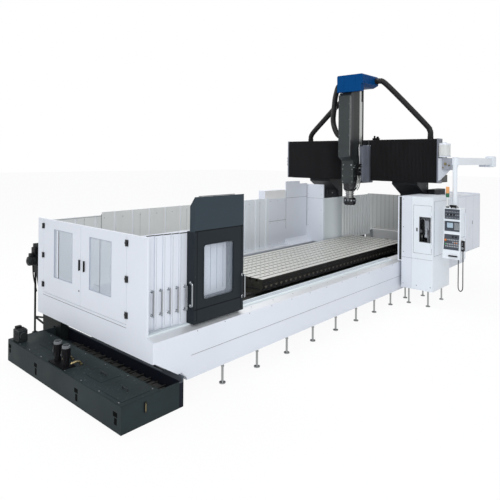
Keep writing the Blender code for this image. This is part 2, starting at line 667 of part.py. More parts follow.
def side_walls(white):
    """Folded far wall with its air duct, far end wall, near fixed wall and near post."""
    low = LEDGE_TOP + TOUCH
    start = END_X + DOOR_THICK + TOUCH
    folds = []
    x = END_X + 0.20
    while x + 0.06 < FAR_WALL_END:
        folds += [(x, 0.0), (x + 0.015, RIB_DEPTH), (x + 0.045, RIB_DEPTH), (x + 0.06, 0.0)]
        x += RIB_PITCH
    outside = [(start, WALL_Y)] + [(x, WALL_Y + out) for x, out in folds] + [(FAR_WALL_END, WALL_Y)]
    inside = [(x, y - 0.8 * RIB_DEPTH) for x, y in reversed(outside)]
    wall = plate("wall_far", [outside + inside], "Z", low, WALL_TOP, white)
    notch = box("wall_far_notch", (start - 0.1, 1.0, FAR_WALL_LOW), (FAR_WALL_STEP, 1.6, WALL_TOP + 0.1))
    duct = box("wall_far_duct", (FAR_WALL_END - 0.11, WALL_Y + TOUCH, 1.95),
               (FAR_WALL_END + 0.74, WALL_Y + 0.20, 2.24))
    neck = box("wall_far_neck", (FAR_WALL_END - 0.10, WALL_Y - 0.02, 1.97),
               (FAR_WALL_END - 0.01, WALL_Y + 0.02, 2.03))
    cut(wall, notch)
    fuse(wall, duct, neck)
    far_end = rectangle(-WALL_Y, SKIRT_BOTTOM, WALL_Y, 1.96)
    end_sheet = plate("wall_far_end", [far_end], "X", FAR_END_X - SHEET, FAR_END_X, white)
    seat = FAR_END_X - SHEET / 2
    front, top = BED_COVER_FRONT, BED_COVER_TOP
    folded = [(front, BED_COVER_FOOT), (seat, BED_COVER_FOOT), (seat, top), (front + BED_COVER_SLOPE, top),
              (front, top - BED_COVER_SLOPE)]
    cover = plate("bed_end_cover", [folded], "Y", -BED_COVER_WIDTH / 2, BED_COVER_WIDTH / 2)
    fuse(end_sheet, cover)
    fixed_face = PANEL_FACE - PANEL_COUNT * PANEL_PITCH
    box("wall_near", (start, -fixed_face, TRACK_TOP + TOUCH),
        (PANEL_FIRST + PANEL_WIDTH, -fixed_face + PANEL_THICK, WALL_TOP), white)
    box("near_post", (MAGAZINE_LEFT, -MAGAZINE_INNER + TOUCH, LEDGE_TOP + TOUCH),
        (MAGAZINE_LEFT + POST_WIDTH, -MAGAZINE_INNER + POST_WIDTH, MAGAZINE_TOP - 0.01), white)


def skirt_pieces(white):
    """Folded skirts with their ledges, and below them the pans that stand on the levelling legs."""
    bed_side = BED_WIDTH / 2 + TOUCH
    inner = WALL_Y - 0.19
    low, fold = SKIRT_Y - SKIRT_PROUD, SKIRT_FOLD
    pan_top = SKIRT_BOTTOM + PAN_THICK
    outline = [(low, pan_top + TOUCH), (low, fold), (SKIRT_Y, fold), (SKIRT_Y, SKIRT_TOP),
               (WALL_Y, LEDGE_TOP), (inner, LEDGE_TOP), (inner, LEDGE_TOP - SHEET),
               (WALL_Y, LEDGE_TOP - SHEET), (low - SHEET, SKIRT_TOP - SHEET), (low - SHEET, pan_top + TOUCH)]
    start, end = END_X + DOOR_THICK + TOUCH, FAR_END_X - SHEET - TOUCH
    slant = SKIRT_STEP - pan_top
    for name, side in (("near", -1), ("far", 1)):
        shape = outline if side > 0 else mirrored(outline)
        skirt = plate("skirt_" + name, [shape], "X", start, end, white)
        sides = sorted((side * (SKIRT_Y + 0.1), side * 0.5))
        shape = [(start - 0.1, 0.0), (SKIRT_START + slant, 0.0), (SKIRT_START + slant, pan_top)]
        if side < 0:
            shape += [(SKIRT_START, SKIRT_STEP), (TANK_RIGHT - TANK_WALL - 0.005, SKIRT_STEP),
                      (start, END_BOTTOM), (start - 0.1, END_BOTTOM)]
        else:
            shape += [(SKIRT_START, SKIRT_STEP), (SKIRT_START, 1.0), (start - 0.1, 1.0)]
        cut(skirt, plate("skirt_%s_over_tank" % name, [shape], "Y", *sides))
        low_y, high_y = sorted((side * bed_side, side * low))
        pan = box("pan_" + name, (SKIRT_START + slant, low_y, SKIRT_BOTTOM), (end, high_y, pan_top), white)
        column_y = sorted((side * (COLUMN_INNER - 0.05), side * (COLUMN_OUTER + 0.02)))
        column = box("pan_%s_column" % name, (COLUMN_FRONT - 0.02, column_y[0], 0.0),
                     (COLUMN_FRONT + COLUMN_DEPTH + 0.02, column_y[1], 1.2))
        cut(skirt, column)
        cut(pan, column)
        places = [(LEG_FIRST + index * LEG_PITCH, side * (SKIRT_Y - 0.03))
                  for index in range(LEG_COUNT)]
        fuse(pan, legs("pan_%s_legs" % name, places, SKIRT_BOTTOM))


def track_piece(dark):
    """Bottom track of the telescoping panels and the operator door."""
    box("door_track", (END_X + DOOR_THICK + TOUCH, -1.40, LEDGE_TOP + TOUCH),
        (TRACK_END, -TRACK_BACK, TRACK_TOP), dark)


def legs(name, places, top):
    """Levelling legs with round feet, for a skirt or cabinet whose underside is at the top."""
    bm = bmesh.new()
    profile = [(0, top + 0.01), (LEG_RADIUS, top + 0.01), (LEG_RADIUS, FOOT_HEIGHT),
               (FOOT_RADIUS, FOOT_HEIGHT), (FOOT_RADIUS, 0), (0, 0)]
    for place in places:
        add_turned(bm, profile, place, 12)
    return add(name, mesh_of(name, bm))


def guard_pieces(white):
    """Splash guards before the far column, and cladding along its inner side."""
    low = LEDGE_TOP + TOUCH
    sheet = 0.02
    joint, tall, end = 1.03, 1.60, 1.93
    start = FAR_WALL_END + TOUCH
    outline = [(start, low), (end, low), (end, 2.377), (tall, 2.377), (tall, 2.445), (joint, 2.445),
               (joint, 2.04), (start, 2.04)]
    wall = plate("guard_far", [outline], "Y", WALL_Y - sheet, WALL_Y, white)
    foot = low + 0.001
    flare = plate("guard_foot", [[(WALL_Y - 0.01, foot), (WALL_Y - 0.01, 1.02), (WALL_Y - sheet, 1.016),
                                  (1.34, 0.955), (1.27, 0.905), (1.22, foot)]],
                  "X", joint, end - 0.002)
    cross = box("guard_cross", (end - 0.01, COLUMN_INNER, foot + 0.001),
                (end + sheet, WALL_Y - 0.005, 2.357))
    fuse(wall, flare, cross)
    front, back = end + sheet + TOUCH, COLUMN_FRONT + 0.12
    out = COLUMN_INNER - TOUCH
    bulge = 0.045
    curve = []
    for step in range(13):
        angle = math.pi * step / 12
        curve.append((front + (back - front) * step / 12, out - bulge * math.sin(angle)))
    outline = list(curve)
    x = back
    while x < COLUMN_FRONT + COLUMN_DEPTH + 0.20:
        outline += [(x + 0.05, out), (x + 0.065, out - 0.02), (x + 0.125, out - 0.02), (x + 0.14, out)]
        x += 0.14
    outline += [(u, v - 0.012) for u, v in reversed(outline)]
    plate("guard_passage", [outline], "Z", 0.86, 2.015, white)


def sliding_panels(white, steel):
    """Five telescoping panels, each with its handle, and each one step further out."""
    for index in range(PANEL_COUNT):
        x = PANEL_FIRST + index * PANEL_STEP
        face = -(PANEL_FACE - (PANEL_COUNT - 1 - index) * PANEL_PITCH)
        panel = box("slide_panel_%d" % (index + 1), (x, face, TRACK_TOP + TOUCH),
                    (x + PANEL_WIDTH, face + PANEL_THICK, WALL_TOP), white)
        grip_x, reach = x + 0.08, 0.045
        handle = boxes("panel_grip_%d" % (index + 1),
                       [((grip_x, face - reach, GRIP_BOTTOM),
                         (grip_x + 0.014, face - reach + 0.014, GRIP_TOP))])
        feet = boxes("panel_grip_feet_%d" % (index + 1),
                     [((grip_x, face - reach, z), (grip_x + 0.014, face + 0.005, z + 0.014))
                      for z in (GRIP_BOTTOM, GRIP_TOP - 0.014)])
        fuse(panel, handle, feet)


def operator_door(dark, glass, steel):
    """Dark sliding door with a sloping hood and a window."""
    left, right = OPERATOR_LEFT, OPERATOR_LEFT + OPERATOR_WIDTH
    front, back = -OPERATOR_FACE, -(PANEL_FACE + RUN)
    side = [(front, TRACK_TOP + TOUCH), (back, TRACK_TOP + TOUCH), (back, OPERATOR_TOP),
            (-1.41, OPERATOR_TOP), (-1.41, HOOD_BACK), (front, HOOD_TOP)]
    door = plate("operator_door", [side], "X", left, right, dark)
    window = (-4.38, 1.185, -3.83, 1.89)
    hole = plate("operator_window_hole", [rectangle(*window, 0.04)], "Y", front - 0.1, back + 0.1)
    cut(door, hole)
    pane = rectangle(window[0] + TOUCH, window[1] + TOUCH, window[2] - TOUCH, window[3] - TOUCH,
                     0.04)
    plate("operator_window", [pane], "Y", front + 0.02, front + 0.028, glass)


def magazine_cabinet(white, glass, dark, steel):
    """Tool magazine cabinet with a hinged door, and the drum behind it."""
    left, right = MAGAZINE_LEFT, MAGAZINE_LEFT + MAGAZINE_WIDTH
    cabinet = box("magazine_cabinet", (left, -CABINET_FRONT, MAGAZINE_BOTTOM),
                  (right, -MAGAZINE_INNER, MAGAZINE_TOP), white)
    hollow = box("magazine_hollow", (left + SHEET, -CABINET_FRONT + SHEET, MAGAZINE_BOTTOM + SHEET),
                 (right - SHEET, -MAGAZINE_INNER - SHEET, MAGAZINE_TOP - SHEET))
    hinge_y = -CABINET_FRONT + 0.01
    free_y = hinge_y + TOOL_DOOR_WIDTH
    doorway = box("magazine_doorway", (left - 0.1, hinge_y + 0.02, TOOL_DOOR_BOTTOM - DOOR_GAP),
                  (left + 0.1, free_y + DOOR_GAP, TOOL_DOOR_TOP + DOOR_GAP))
    cut(cabinet, hollow, doorway)
    places = [(x, y) for x in (left + 0.09, right - 0.09)
              for y in (-CABINET_FRONT + 0.13, -MAGAZINE_INNER - 0.13)]
    fuse(cabinet, legs("magazine_legs", places, MAGAZINE_BOTTOM))
    door = rectangle(hinge_y + 0.025, TOOL_DOOR_BOTTOM, free_y, TOOL_DOOR_TOP)
    window = (-2.19, 1.33, -1.97, 1.83)
    leaf = plate("magazine_door", [door, rectangle(*window)], "X", left, left + 0.02, white)
    axis = (left - HINGE_RADIUS - HINGE_PLAY, hinge_y + 0.020)
    fixed, moving = hinge_ranges(TOOL_DOOR_HINGES)
    fuse(cabinet, *hinge_leaf("magazine_hinge_fixed", axis, fixed, -1))
    fuse(leaf, *hinge_leaf("magazine_hinge_moving", axis, moving, 1))
    pane = rectangle(window[0] + TOUCH, window[1] + TOUCH, window[2] - TOUCH, window[3] - TOUCH)
    plate("magazine_window", [pane], "X", left + 0.006, left + 0.012, glass)
    drum_y = -(CABINET_FRONT + MAGAZINE_INNER) / 2
    turned("magazine_drum", [(0, MAGAZINE_TOP - SHEET - TOUCH), (0.05, MAGAZINE_TOP - SHEET - TOUCH),
                             (0.05, 1.80), (0.24, 1.80), (0.24, 1.45), (0.05, 1.45), (0.05, 1.40),
                             (0, 1.40)], (left + 0.45, drum_y, 0), steel)
    box("electrical_cabinet", (right + TOUCH, -CABINET_FRONT, ELECTRIC_BOTTOM),
        (right + ELECTRIC_WIDTH, -(COLUMN_OUTER + TOUCH), ELECTRIC_TOP), white, 0.006)


def console_pieces(white, black, lamp):
    """Console arm with its hub and drop tube, console box, lamp and handwheel pendant."""
    top = ARM_Z + ARM_HEIGHT
    hub = Vector((HUB_X, HUB_Y, 0))
    tube = Vector((TUBE_X, TUBE_Y, 0))
    along = tube - hub
    turn = Matrix.Rotation(math.atan2(along.y, along.x), 4, "Z")
    bm = bmesh.new()
    place = (Matrix.Translation((hub + tube) / 2 + Vector((0, 0, ARM_Z + ARM_HEIGHT / 2))) @ turn
             @ Matrix.Diagonal((along.length, ARM_WIDTH, ARM_HEIGHT, 1)))
    bmesh.ops.create_cube(bm, size=1.0, matrix=place)
    arm = add("console_arm", mesh_of("console_arm", bm), white)
    hub_post = rods("arm_hub", [((HUB_X, HUB_Y, HUB_BOTTOM), (HUB_X, HUB_Y, HUB_TOP))], HUB_RADIUS,
                    sides=32)
    drop = rods("arm_drop", [((TUBE_X, TUBE_Y, CONSOLE_TOP + TOUCH), (TUBE_X, TUBE_Y, top))],
                TUBE_RADIUS, sides=24)
    fuse(arm, hub_post, drop)
    low, high = TUBE_Y - CONSOLE_WIDTH / 2, TUBE_Y + CONSOLE_WIDTH / 2
    front = TUBE_X - CONSOLE_DEPTH / 2
    bottom = CONSOLE_TOP - CONSOLE_HEIGHT
    outline = [(front - CONSOLE_LEAN, bottom + 0.03), (front + CONSOLE_DEPTH, bottom),
               (front + CONSOLE_DEPTH, CONSOLE_TOP), (front, CONSOLE_TOP),
               (front, CONSOLE_TOP - 0.52)]
    plate("console_box", [outline], "Y", low, high, white)
    foot, lens = CONSOLE_TOP + TOUCH, CONSOLE_TOP + LAMP_HEIGHT / 2
    lamp_top = CONSOLE_TOP + LAMP_HEIGHT
    turned("signal_lamp", [(0, lamp_top), (0.031, lamp_top), (0.033, lamp_top - 0.008), (0.033, lens),
                           (0.017, lens), (0.017, foot + 0.035), (0.030, foot + 0.03), (0.030, foot),
                           (0, foot)], (front + 0.06, high - 0.05, 0), lamp, 20)
    x, y = front + 0.065, low - 0.026
    box("pendant", (x - 0.035, low - 0.052, PENDANT_BOTTOM),
        (x + 0.035, low - TOUCH, PENDANT_BOTTOM + 0.205), black, 0.008)
    under = bottom + 0.03 * (1 - (CONSOLE_LEAN + 0.065) / (CONSOLE_LEAN + CONSOLE_DEPTH)) - 0.001
    side = low + 0.062
    hose("pendant_cord", [(x, y, PENDANT_BOTTOM - TOUCH), (x, y, 1.14), (x, y, 1.05), (x, y, 0.75),
                          (x, y, 0.52), (x, y + 0.013, 0.462), (x, y + 0.044, 0.436),
                          (x, side - 0.013, 0.462), (x, side, 0.52), (x, side, 0.75), (x, side, 0.95),
                          (x, side, 1.0), (x, side, under)], CORD_RADIUS, black)


def tank_pieces(dark, black):
    """Coolant tank with its trough, chip chain, pumps and gear motor."""
    tank = box("tank", (TANK_LEFT, TANK_NEAR, 0.0), (TANK_RIGHT, TANK_FAR, TANK_HEIGHT), dark)
    trough_left = TANK_RIGHT - TROUGH_WIDTH
    trough = box("trough", (trough_left, TANK_NEAR + TANK_WALL, TANK_HEIGHT - TROUGH_DEPTH),
                 (TANK_RIGHT - TANK_WALL, TANK_FAR - TANK_WALL, TANK_HEIGHT + 0.1))
    cut(tank, trough)
    foot, rim = TANK_HEIGHT - 0.05, TANK_HEIGHT + 0.004
    outline = [(TANK_NEAR, foot), (TANK_FAR, foot), (TANK_FAR, rim), (TANK_NEAR + BACK_SHEET_HORN, rim),
               (TANK_NEAR + BACK_SHEET_HORN - 0.08, BACK_SHEET_TOP), (TANK_NEAR, BACK_SHEET_TOP)]
    sheet = plate("trough_back", [outline], "X", TANK_RIGHT - TANK_WALL, TANK_RIGHT)
    fuse(tank, sheet)
    bottom = TANK_HEIGHT - TROUGH_DEPTH + TOUCH
    chain = box("chip_chain", (trough_left + 0.03, TANK_NEAR + 0.06, bottom),
                (TANK_RIGHT - TANK_WALL - 0.03, TANK_FAR - 0.55, bottom + 0.03), black)
    flight = []
    y = TANK_NEAR + 0.12
    while y < TANK_FAR - 0.62:
        flight.append(((trough_left + 0.03, y, bottom + 0.02),
                       (TANK_RIGHT - TANK_WALL - 0.03, y + 0.02, bottom + 0.065)))
        y += 0.15
    fuse(chain, boxes("chain_flights", flight))
    base = TANK_HEIGHT + TOUCH
    pumps = box("coolant_pumps", (PUMP_X - 0.085, PUMP_PLACES[1] - 0.09, base),
                (PUMP_X + 0.085, PUMP_PLACES[0] + 0.09, base + 0.015), black)
    for index, y in enumerate(PUMP_PLACES):
        top, shoulder = base + PUMP_HEIGHT, base + PUMP_HEIGHT - 0.14
        pump = turned("coolant_pump_%d" % (index + 1),
                      [(0, top), (PUMP_RADIUS - 0.01, top), (PUMP_RADIUS, top - 0.01),
                       (PUMP_RADIUS, shoulder), (0.04, shoulder), (0.04, base + 0.01),
                       (0, base + 0.01)], (PUMP_X, y, 0), None, 20)
        fuse(pumps, pump)
    box("tank_motor", (-5.63, 1.06, base), (-5.49, 1.24, base + 0.17), black, 0.01)


def conveyor_pieces(dark, black, gray):
    """Steep chip conveyor that leaves the trough over the tank's far wall, with its drive and leg."""
    bottom = TANK_HEIGHT - TROUGH_DEPTH + TOUCH
    over, outside = TANK_HEIGHT + 0.02, TANK_FAR + 0.03
    outline = [(1.13, bottom), (TANK_FAR - 0.04, bottom), (TANK_FAR - 0.04, over), (outside, over),
               (outside, 0.10), (1.715, 0.04), (1.73, 0.50), (1.90, 0.80), (1.995, 1.06), (2.11, 1.06),
               (2.115, 1.54), (1.877, 1.57), (1.86, 1.28), (1.72, 1.10), (1.45, 0.86), (1.22, 0.76),
               (1.13, 0.64)]
    conveyor = plate("chip_conveyor", [outline], "X", CONVEYOR_LEFT, CONVEYOR_RIGHT, dark)
    leg_x = CONVEYOR_RIGHT - 0.05
    leg = legs("conveyor_leg", [(leg_x, 2.19)], 1.12)
    braces = rods("conveyor_braces", [((leg_x, 2.0, 1.12), (leg_x, 2.20, 1.12)),
                                      ((leg_x, 1.68, 0.36), (leg_x, 2.19, 0.27)),
                                      ((leg_x, 1.70, 0.20), (leg_x, 2.19, 0.27))], 0.016, sides=10)
    fuse(conveyor, braces, leg)
    drive = CONVEYOR_LEFT - TOUCH
    rods("conveyor_drive", [((drive - 0.12, 2.02, 1.27), (drive, 2.02, 1.27))], 0.075, gray)


def build():
    for obj in list(bpy.data.objects):
        bpy.data.objects.remove(obj, do_unlink=True)
    bpy.context.scene.collection.children.link(model)
    bpy.context.scene.collection.children.link(construction)
    white = material("white_enamel", (0.80, 0.82, 0.86), 0.4)
    dark = material("anthracite_enamel", (0.05, 0.06, 0.065), 0.4)
    gray = material("machine_gray", (0.16, 0.17, 0.18), 0.45)
    purple_gray = material("saddle_gray", (0.25, 0.26, 0.32), 0.45)
    black = material("black_moulding", (0.02, 0.02, 0.022), 0.5)
    rubber = material("bellows_cloth", (0.015, 0.015, 0.018), 0.7)
    blue = material("blue_enamel", (0.02, 0.12, 0.35), 0.4)
    steel = material("ground_steel", (0.60, 0.60, 0.58), 0.3, 1.0)
    glass = material("window_glass", (0.85, 0.90, 0.92), 0.05, 0.0, 0.35)
    lamp = material("lamp_amber", (0.9, 0.35, 0.02), 0.3)
    bed_pieces(gray)
    table_pieces(steel)
    column_pieces(gray)
    beam_pieces(gray, purple_gray)
    bellows_pieces(rubber)
    saddle_pieces(purple_gray)
    ram_pieces(gray, dark, blue, black, steel)
    beam_hoses(black)
    lubrication_unit(white)
    arm_bracket(white)
    end_wall(white, glass, black)
    side_walls(white)
    skirt_pieces(white)
    track_piece(dark)
    guard_pieces(white)
    sliding_panels(white, steel)
    operator_door(dark, glass, steel)
    magazine_cabinet(white, glass, dark, steel)
    console_pieces(white, black, lamp)
    tank_pieces(dark, black)
    conveyor_pieces(dark, black, gray)


build()
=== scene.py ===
"""Looks of a double column machining center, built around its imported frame.

Metres, +Z up, in the frame's own axes: +X runs along the bed, away from the chip tank,
and -Y is the operator's side. Each operator dresses one group of pieces.
"""
import math

import bmesh
import bpy
from bpy.props import FloatProperty, FloatVectorProperty, IntProperty, PointerProperty
from mathutils import Matrix, Vector

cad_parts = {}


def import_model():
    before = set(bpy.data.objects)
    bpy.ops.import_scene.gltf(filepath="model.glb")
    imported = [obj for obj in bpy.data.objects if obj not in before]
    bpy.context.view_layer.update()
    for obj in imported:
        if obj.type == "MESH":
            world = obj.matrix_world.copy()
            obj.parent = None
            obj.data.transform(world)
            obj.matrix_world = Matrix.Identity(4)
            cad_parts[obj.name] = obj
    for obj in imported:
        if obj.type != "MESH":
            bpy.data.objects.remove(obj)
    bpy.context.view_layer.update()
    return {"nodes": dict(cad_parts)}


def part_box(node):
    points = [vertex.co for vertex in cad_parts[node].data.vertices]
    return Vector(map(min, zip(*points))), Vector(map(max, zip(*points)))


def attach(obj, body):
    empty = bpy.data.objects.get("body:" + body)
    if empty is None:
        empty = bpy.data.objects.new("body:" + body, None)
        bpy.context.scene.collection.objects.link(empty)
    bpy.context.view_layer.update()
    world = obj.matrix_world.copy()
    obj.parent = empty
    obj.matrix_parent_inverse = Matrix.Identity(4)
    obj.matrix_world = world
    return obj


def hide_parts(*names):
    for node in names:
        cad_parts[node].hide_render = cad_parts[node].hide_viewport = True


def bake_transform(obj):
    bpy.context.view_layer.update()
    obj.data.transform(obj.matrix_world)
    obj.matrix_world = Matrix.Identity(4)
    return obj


bl_info = {
    "name": "Double Column Machining Center",
    "version": (1, 0, 0),
    "blender": (4, 5, 0),
    "location": "View3D > Sidebar > Machining Center",
    "description": "Dresses the frame of a double column machining center",
    "category": "Object",
}

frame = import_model()

# Places repeated from the part
TABLE_LOW, TABLE_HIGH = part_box("table")
END_X = -5.19
MAGAZINE_FACE = 1.20
HINGE_HEIGHTS = (1.06, 1.505, 1.95)
END_HINGES = (1.223, -0.985)
CONSOLE_LOW, CONSOLE_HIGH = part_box("console_box")
TANK_LOW, TANK_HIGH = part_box("tank")
TANK_LATCHES = ((1.265, 0.13, 0.25), (0.437, 0.05, 0.21), (-0.644, 0.06, 0.21), (-1.486, 0.08, 0.22))
PROUD = 0.0015            # how far thin fittings stand off the surface that they are fixed to


def color_property(name, description, default):
    return FloatVectorProperty(name=name, description=description, default=default, size=3,
                               min=0.0, max=1.0, subtype="COLOR")


def length_property(name, description, default):
    return FloatProperty(name=name, description=description, default=default, min=0.0,
                         unit="LENGTH", subtype="DISTANCE")


class MachineSizes(bpy.types.PropertyGroup):
    """Sizes of the fittings that a user would change."""
    hose_radius: length_property("Hose radius", "Outer radius of the corrugated hoses", 0.066)
    hose_rib: length_property("Hose rib", "Pitch of the ribs along a hose", 0.030)
    pleat_pitch: length_property("Pleat pitch", "Distance between the folds of a bellows", 0.032)
    pleat_depth: length_property("Pleat depth", "Depth of the folds of a bellows", 0.014)
    handle_radius: length_property("Handle radius", "Radius of the bar of a pull handle", 0.011)
    hole_pitch: length_property("Hole pitch", "Distance between the table's clamping holes", 0.125)
    hole_radius: length_property("Hole radius", "Radius of the table's clamping holes", 0.016)
    bolt_radius: length_property("Bolt radius", "Radius of the heads of the fixing bolts", 0.011)
    slat_pitch: length_property("Slat pitch", "Distance between the slats of the chip chain", 0.215)
    bolt_sides: IntProperty(name="Bolt sides", description="Sides of a bolt's head", default=6,
                            min=4, max=16)


class MachineColors(bpy.types.PropertyGroup):
    """Colours of the finishes that a user would change."""
    enamel: color_property("Enamel", "Pale enamel of the enclosure", (0.73, 0.765, 0.835))
    dark_enamel: color_property("Dark enamel", "Enamel of the operator's door", (0.020, 0.028, 0.035))
    casting: color_property("Casting", "Paint of the columns and the crossbeam", (0.016, 0.019, 0.023))
    ram: color_property("Ram", "Paint of the ram and its cover", (0.036, 0.044, 0.046))
    saddle: color_property("Saddle", "Paint of the saddle", (0.19, 0.205, 0.25))
    cap: color_property("Cap", "Enamel of the ram's cap", (0.0, 0.052, 0.190))
    tank: color_property("Tank", "Enamel of the coolant tank", (0.019, 0.027, 0.029))


def sizes():
    return bpy.context.scene.machine_sizes


def colors():
    return bpy.context.scene.machine_colors


# Mesh code

class Form:
    """Mesh code for one piece: solids are added in turn, then made into an object."""

    def __init__(self):
        self.bm = bmesh.new()

    def box(self, low, high, chamfer=0.0):
        """A box between two corners, its edges rounded if a chamfer is given."""
        low, high = Vector(low), Vector(high)
        place = Matrix.Translation((low + high) / 2) @ Matrix.Diagonal((*(high - low), 1.0))
        made = bmesh.ops.create_cube(self.bm, size=1.0, matrix=place)
        if chamfer:
            edges = list(dict.fromkeys(edge for vert in made["verts"] for edge in vert.link_edges))
            bmesh.ops.bevel(self.bm, geom=edges, offset=chamfer, segments=2, profile=0.6,
                            affect="EDGES", clamp_overlap=True)
        return self

    def loft(self, rings, closed=True, caps=True):
        """A skin over rings of points; a ring of one point closes to a tip."""
        made = [[self.bm.verts.new(point) for point in ring] for ring in rings]
        for first, second in zip(made, made[1:]):
            count = max(len(first), len(second))
            for i in range(count if closed else count - 1):
                j = (i + 1) % count
                if len(first) == 1:
                    self.bm.faces.new((first[0], second[j], second[i]))
                elif len(second) == 1:
                    self.bm.faces.new((first[i], first[j], second[0]))
                else:
                    self.bm.faces.new((first[i], first[j], second[j], second[i]))
        if caps:
            for ring in (made if len(made) < 2 else (made[0], made[-1])):
                if len(ring) > 2:
                    self.bm.faces.new(ring)
        return self

    def prism(self, outline, axis, start, end):
        """An outline of (y, z), (x, z) or (x, y) points, extruded along X, Y or Z."""
        def point(u, v, depth):
            return {"X": (depth, u, v), "Y": (u, depth, v), "Z": (u, v, depth)}[axis]
        return self.loft([[point(u, v, depth) for u, v in outline] for depth in (start, end)])

    def turned(self, profile, centre, axis=(0, 0, 1), sides=24):
        """A turned solid; the profile is (radius, height along the axis)."""
        turn = Vector((0, 0, 1)).rotation_difference(Vector(axis)).to_matrix()
        rings = []
        for radius, height in profile:
            if radius < 1e-6:
                rings.append([Vector(centre) + turn @ Vector((0, 0, height))])
                continue
            ring = []
            for step in range(sides):
                angle = 2 * math.pi * step / sides
                spot = Vector((radius * math.cos(angle), radius * math.sin(angle), height))
                ring.append(Vector(centre) + turn @ spot)
            rings.append(ring)
        return self.loft(rings)

    def disc(self, centre, axis, radius, height, sides=16, edge=0.0):
        """A short round solid standing on a point, with a rounded far edge."""
        edge = edge or min(radius, height) * 0.25
        profile = [(0, 0), (radius, 0), (radius, height - edge), (radius - edge, height), (0, height)]
        return self.turned(profile, centre, axis, sides)

    def tube(self, path, radii, sides=12):
        """A round tube along a path; the radii are one number or one for each point."""
        path = [Vector(point) for point in path]
        if isinstance(radii, (int, float)):
            radii = [radii] * len(path)
        ahead = [(path[min(i + 1, len(path) - 1)] - path[max(i - 1, 0)]).normalized()
                 for i in range(len(path))]
        across = ahead[0].orthogonal().normalized()
        rings = []
        for point, along, radius in zip(path, ahead, radii):
            across = (across - along * across.dot(along)).normalized()
            other = along.cross(across)
            rings.append([point + radius * (math.cos(a) * across + math.sin(a) * other)
                          for a in (2 * math.pi * step / sides for step in range(sides))])
        return self.loft(rings)

    def frame(self, axis, start, end, opening, border):
        """A flat frame around an opening given as (u0, v0, u1, v1)."""
        u0, v0, u1, v1 = opening
        for low_u, low_v, high_u, high_v in ((u0 - border, v0 - border, u0, v1 + border),
                                             (u1, v0 - border, u1 + border, v1 + border),
                                             (u0, v0 - border, u1, v0), (u0, v1, u1, v1 + border)):
            spots = {"X": ((start, low_u, low_v), (end, high_u, high_v)),
                     "Y": ((low_u, start, low_v), (high_u, end, high_v)),
                     "Z": ((low_u, low_v, start), (high_u, high_v, end))}
            self.box(*spots[axis])
        return self

    def made(self, name, body, look, smooth=False):
        """The object, with its finish or the finish's name, riding on a body of the frame."""
        bmesh.ops.recalc_face_normals(self.bm, faces=self.bm.faces)
        mesh = bpy.data.meshes.new(name)
        self.bm.to_mesh(mesh)
        self.bm.free()
        mesh.materials.append(material_of(look))
        if smooth:
            mesh.shade_smooth()
            mesh.set_sharp_from_angle(angle=math.radians(40))
        obj = bpy.data.objects.new(name, mesh)
        bpy.context.scene.collection.objects.link(obj)
        if body:
            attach(obj, body)
        return obj


def smooth_route(points, steps=8):
    """Points on a smooth curve through the given points."""
    points = [Vector(point) for point in points]
    ends = [2 * points[0] - points[1]] + points + [2 * points[-1] - points[-2]]
    route = []
    for i in range(len(points) - 1):
        a, b, c, d = ends[i:i + 4]
        for step in range(steps):
            t = step / steps
            route.append(0.5 * (2 * b + (c - a) * t + (2 * a - 5 * b + 4 * c - d) * t * t
                                + (3 * b - a - 3 * c + d) * t ** 3))
    return route + [points[-1]]


def even_route(route, pitch):
    """The same route in steps of one length."""
    lengths = [0.0]
    for first, second in zip(route, route[1:]):
        lengths.append(lengths[-1] + (second - first).length)
    count = max(2, round(lengths[-1] / pitch))
    spots, i = [], 0
    for step in range(count + 1):
        target = lengths[-1] * step / count
        while i < len(lengths) - 2 and lengths[i + 1] < target:
            i += 1
        share = (target - lengths[i]) / (lengths[i + 1] - lengths[i])
        spots.append(route[i].lerp(route[i + 1], share))
    return spots


def bolts(form, places, axis, radius=None, height=0.006):
    """Bolt heads standing on a surface."""
    radius = radius or sizes().bolt_radius
    for place in places:
        form.disc(place, axis, radius, height, sizes().bolt_sides)
    return form


def pull_handle(form, foot, top, out, radius):
    """A round bar handle from one foot to the other, standing out from a face."""
    foot, top, out = Vector(foot), Vector(top), Vector(out)
    bend = 0.3 * out.length
    lean = (top - foot).normalized() * bend
    route = [foot, foot + out * 0.6, foot + out + lean, foot.lerp(top, 0.5) + out, top + out - lean,
             top + out * 0.6, top]
    form.tube(smooth_route(route, 6), radius)
    for end in (foot, top):
        form.disc(end, out, radius * 1.9, 0.008, 16)


# Finishes

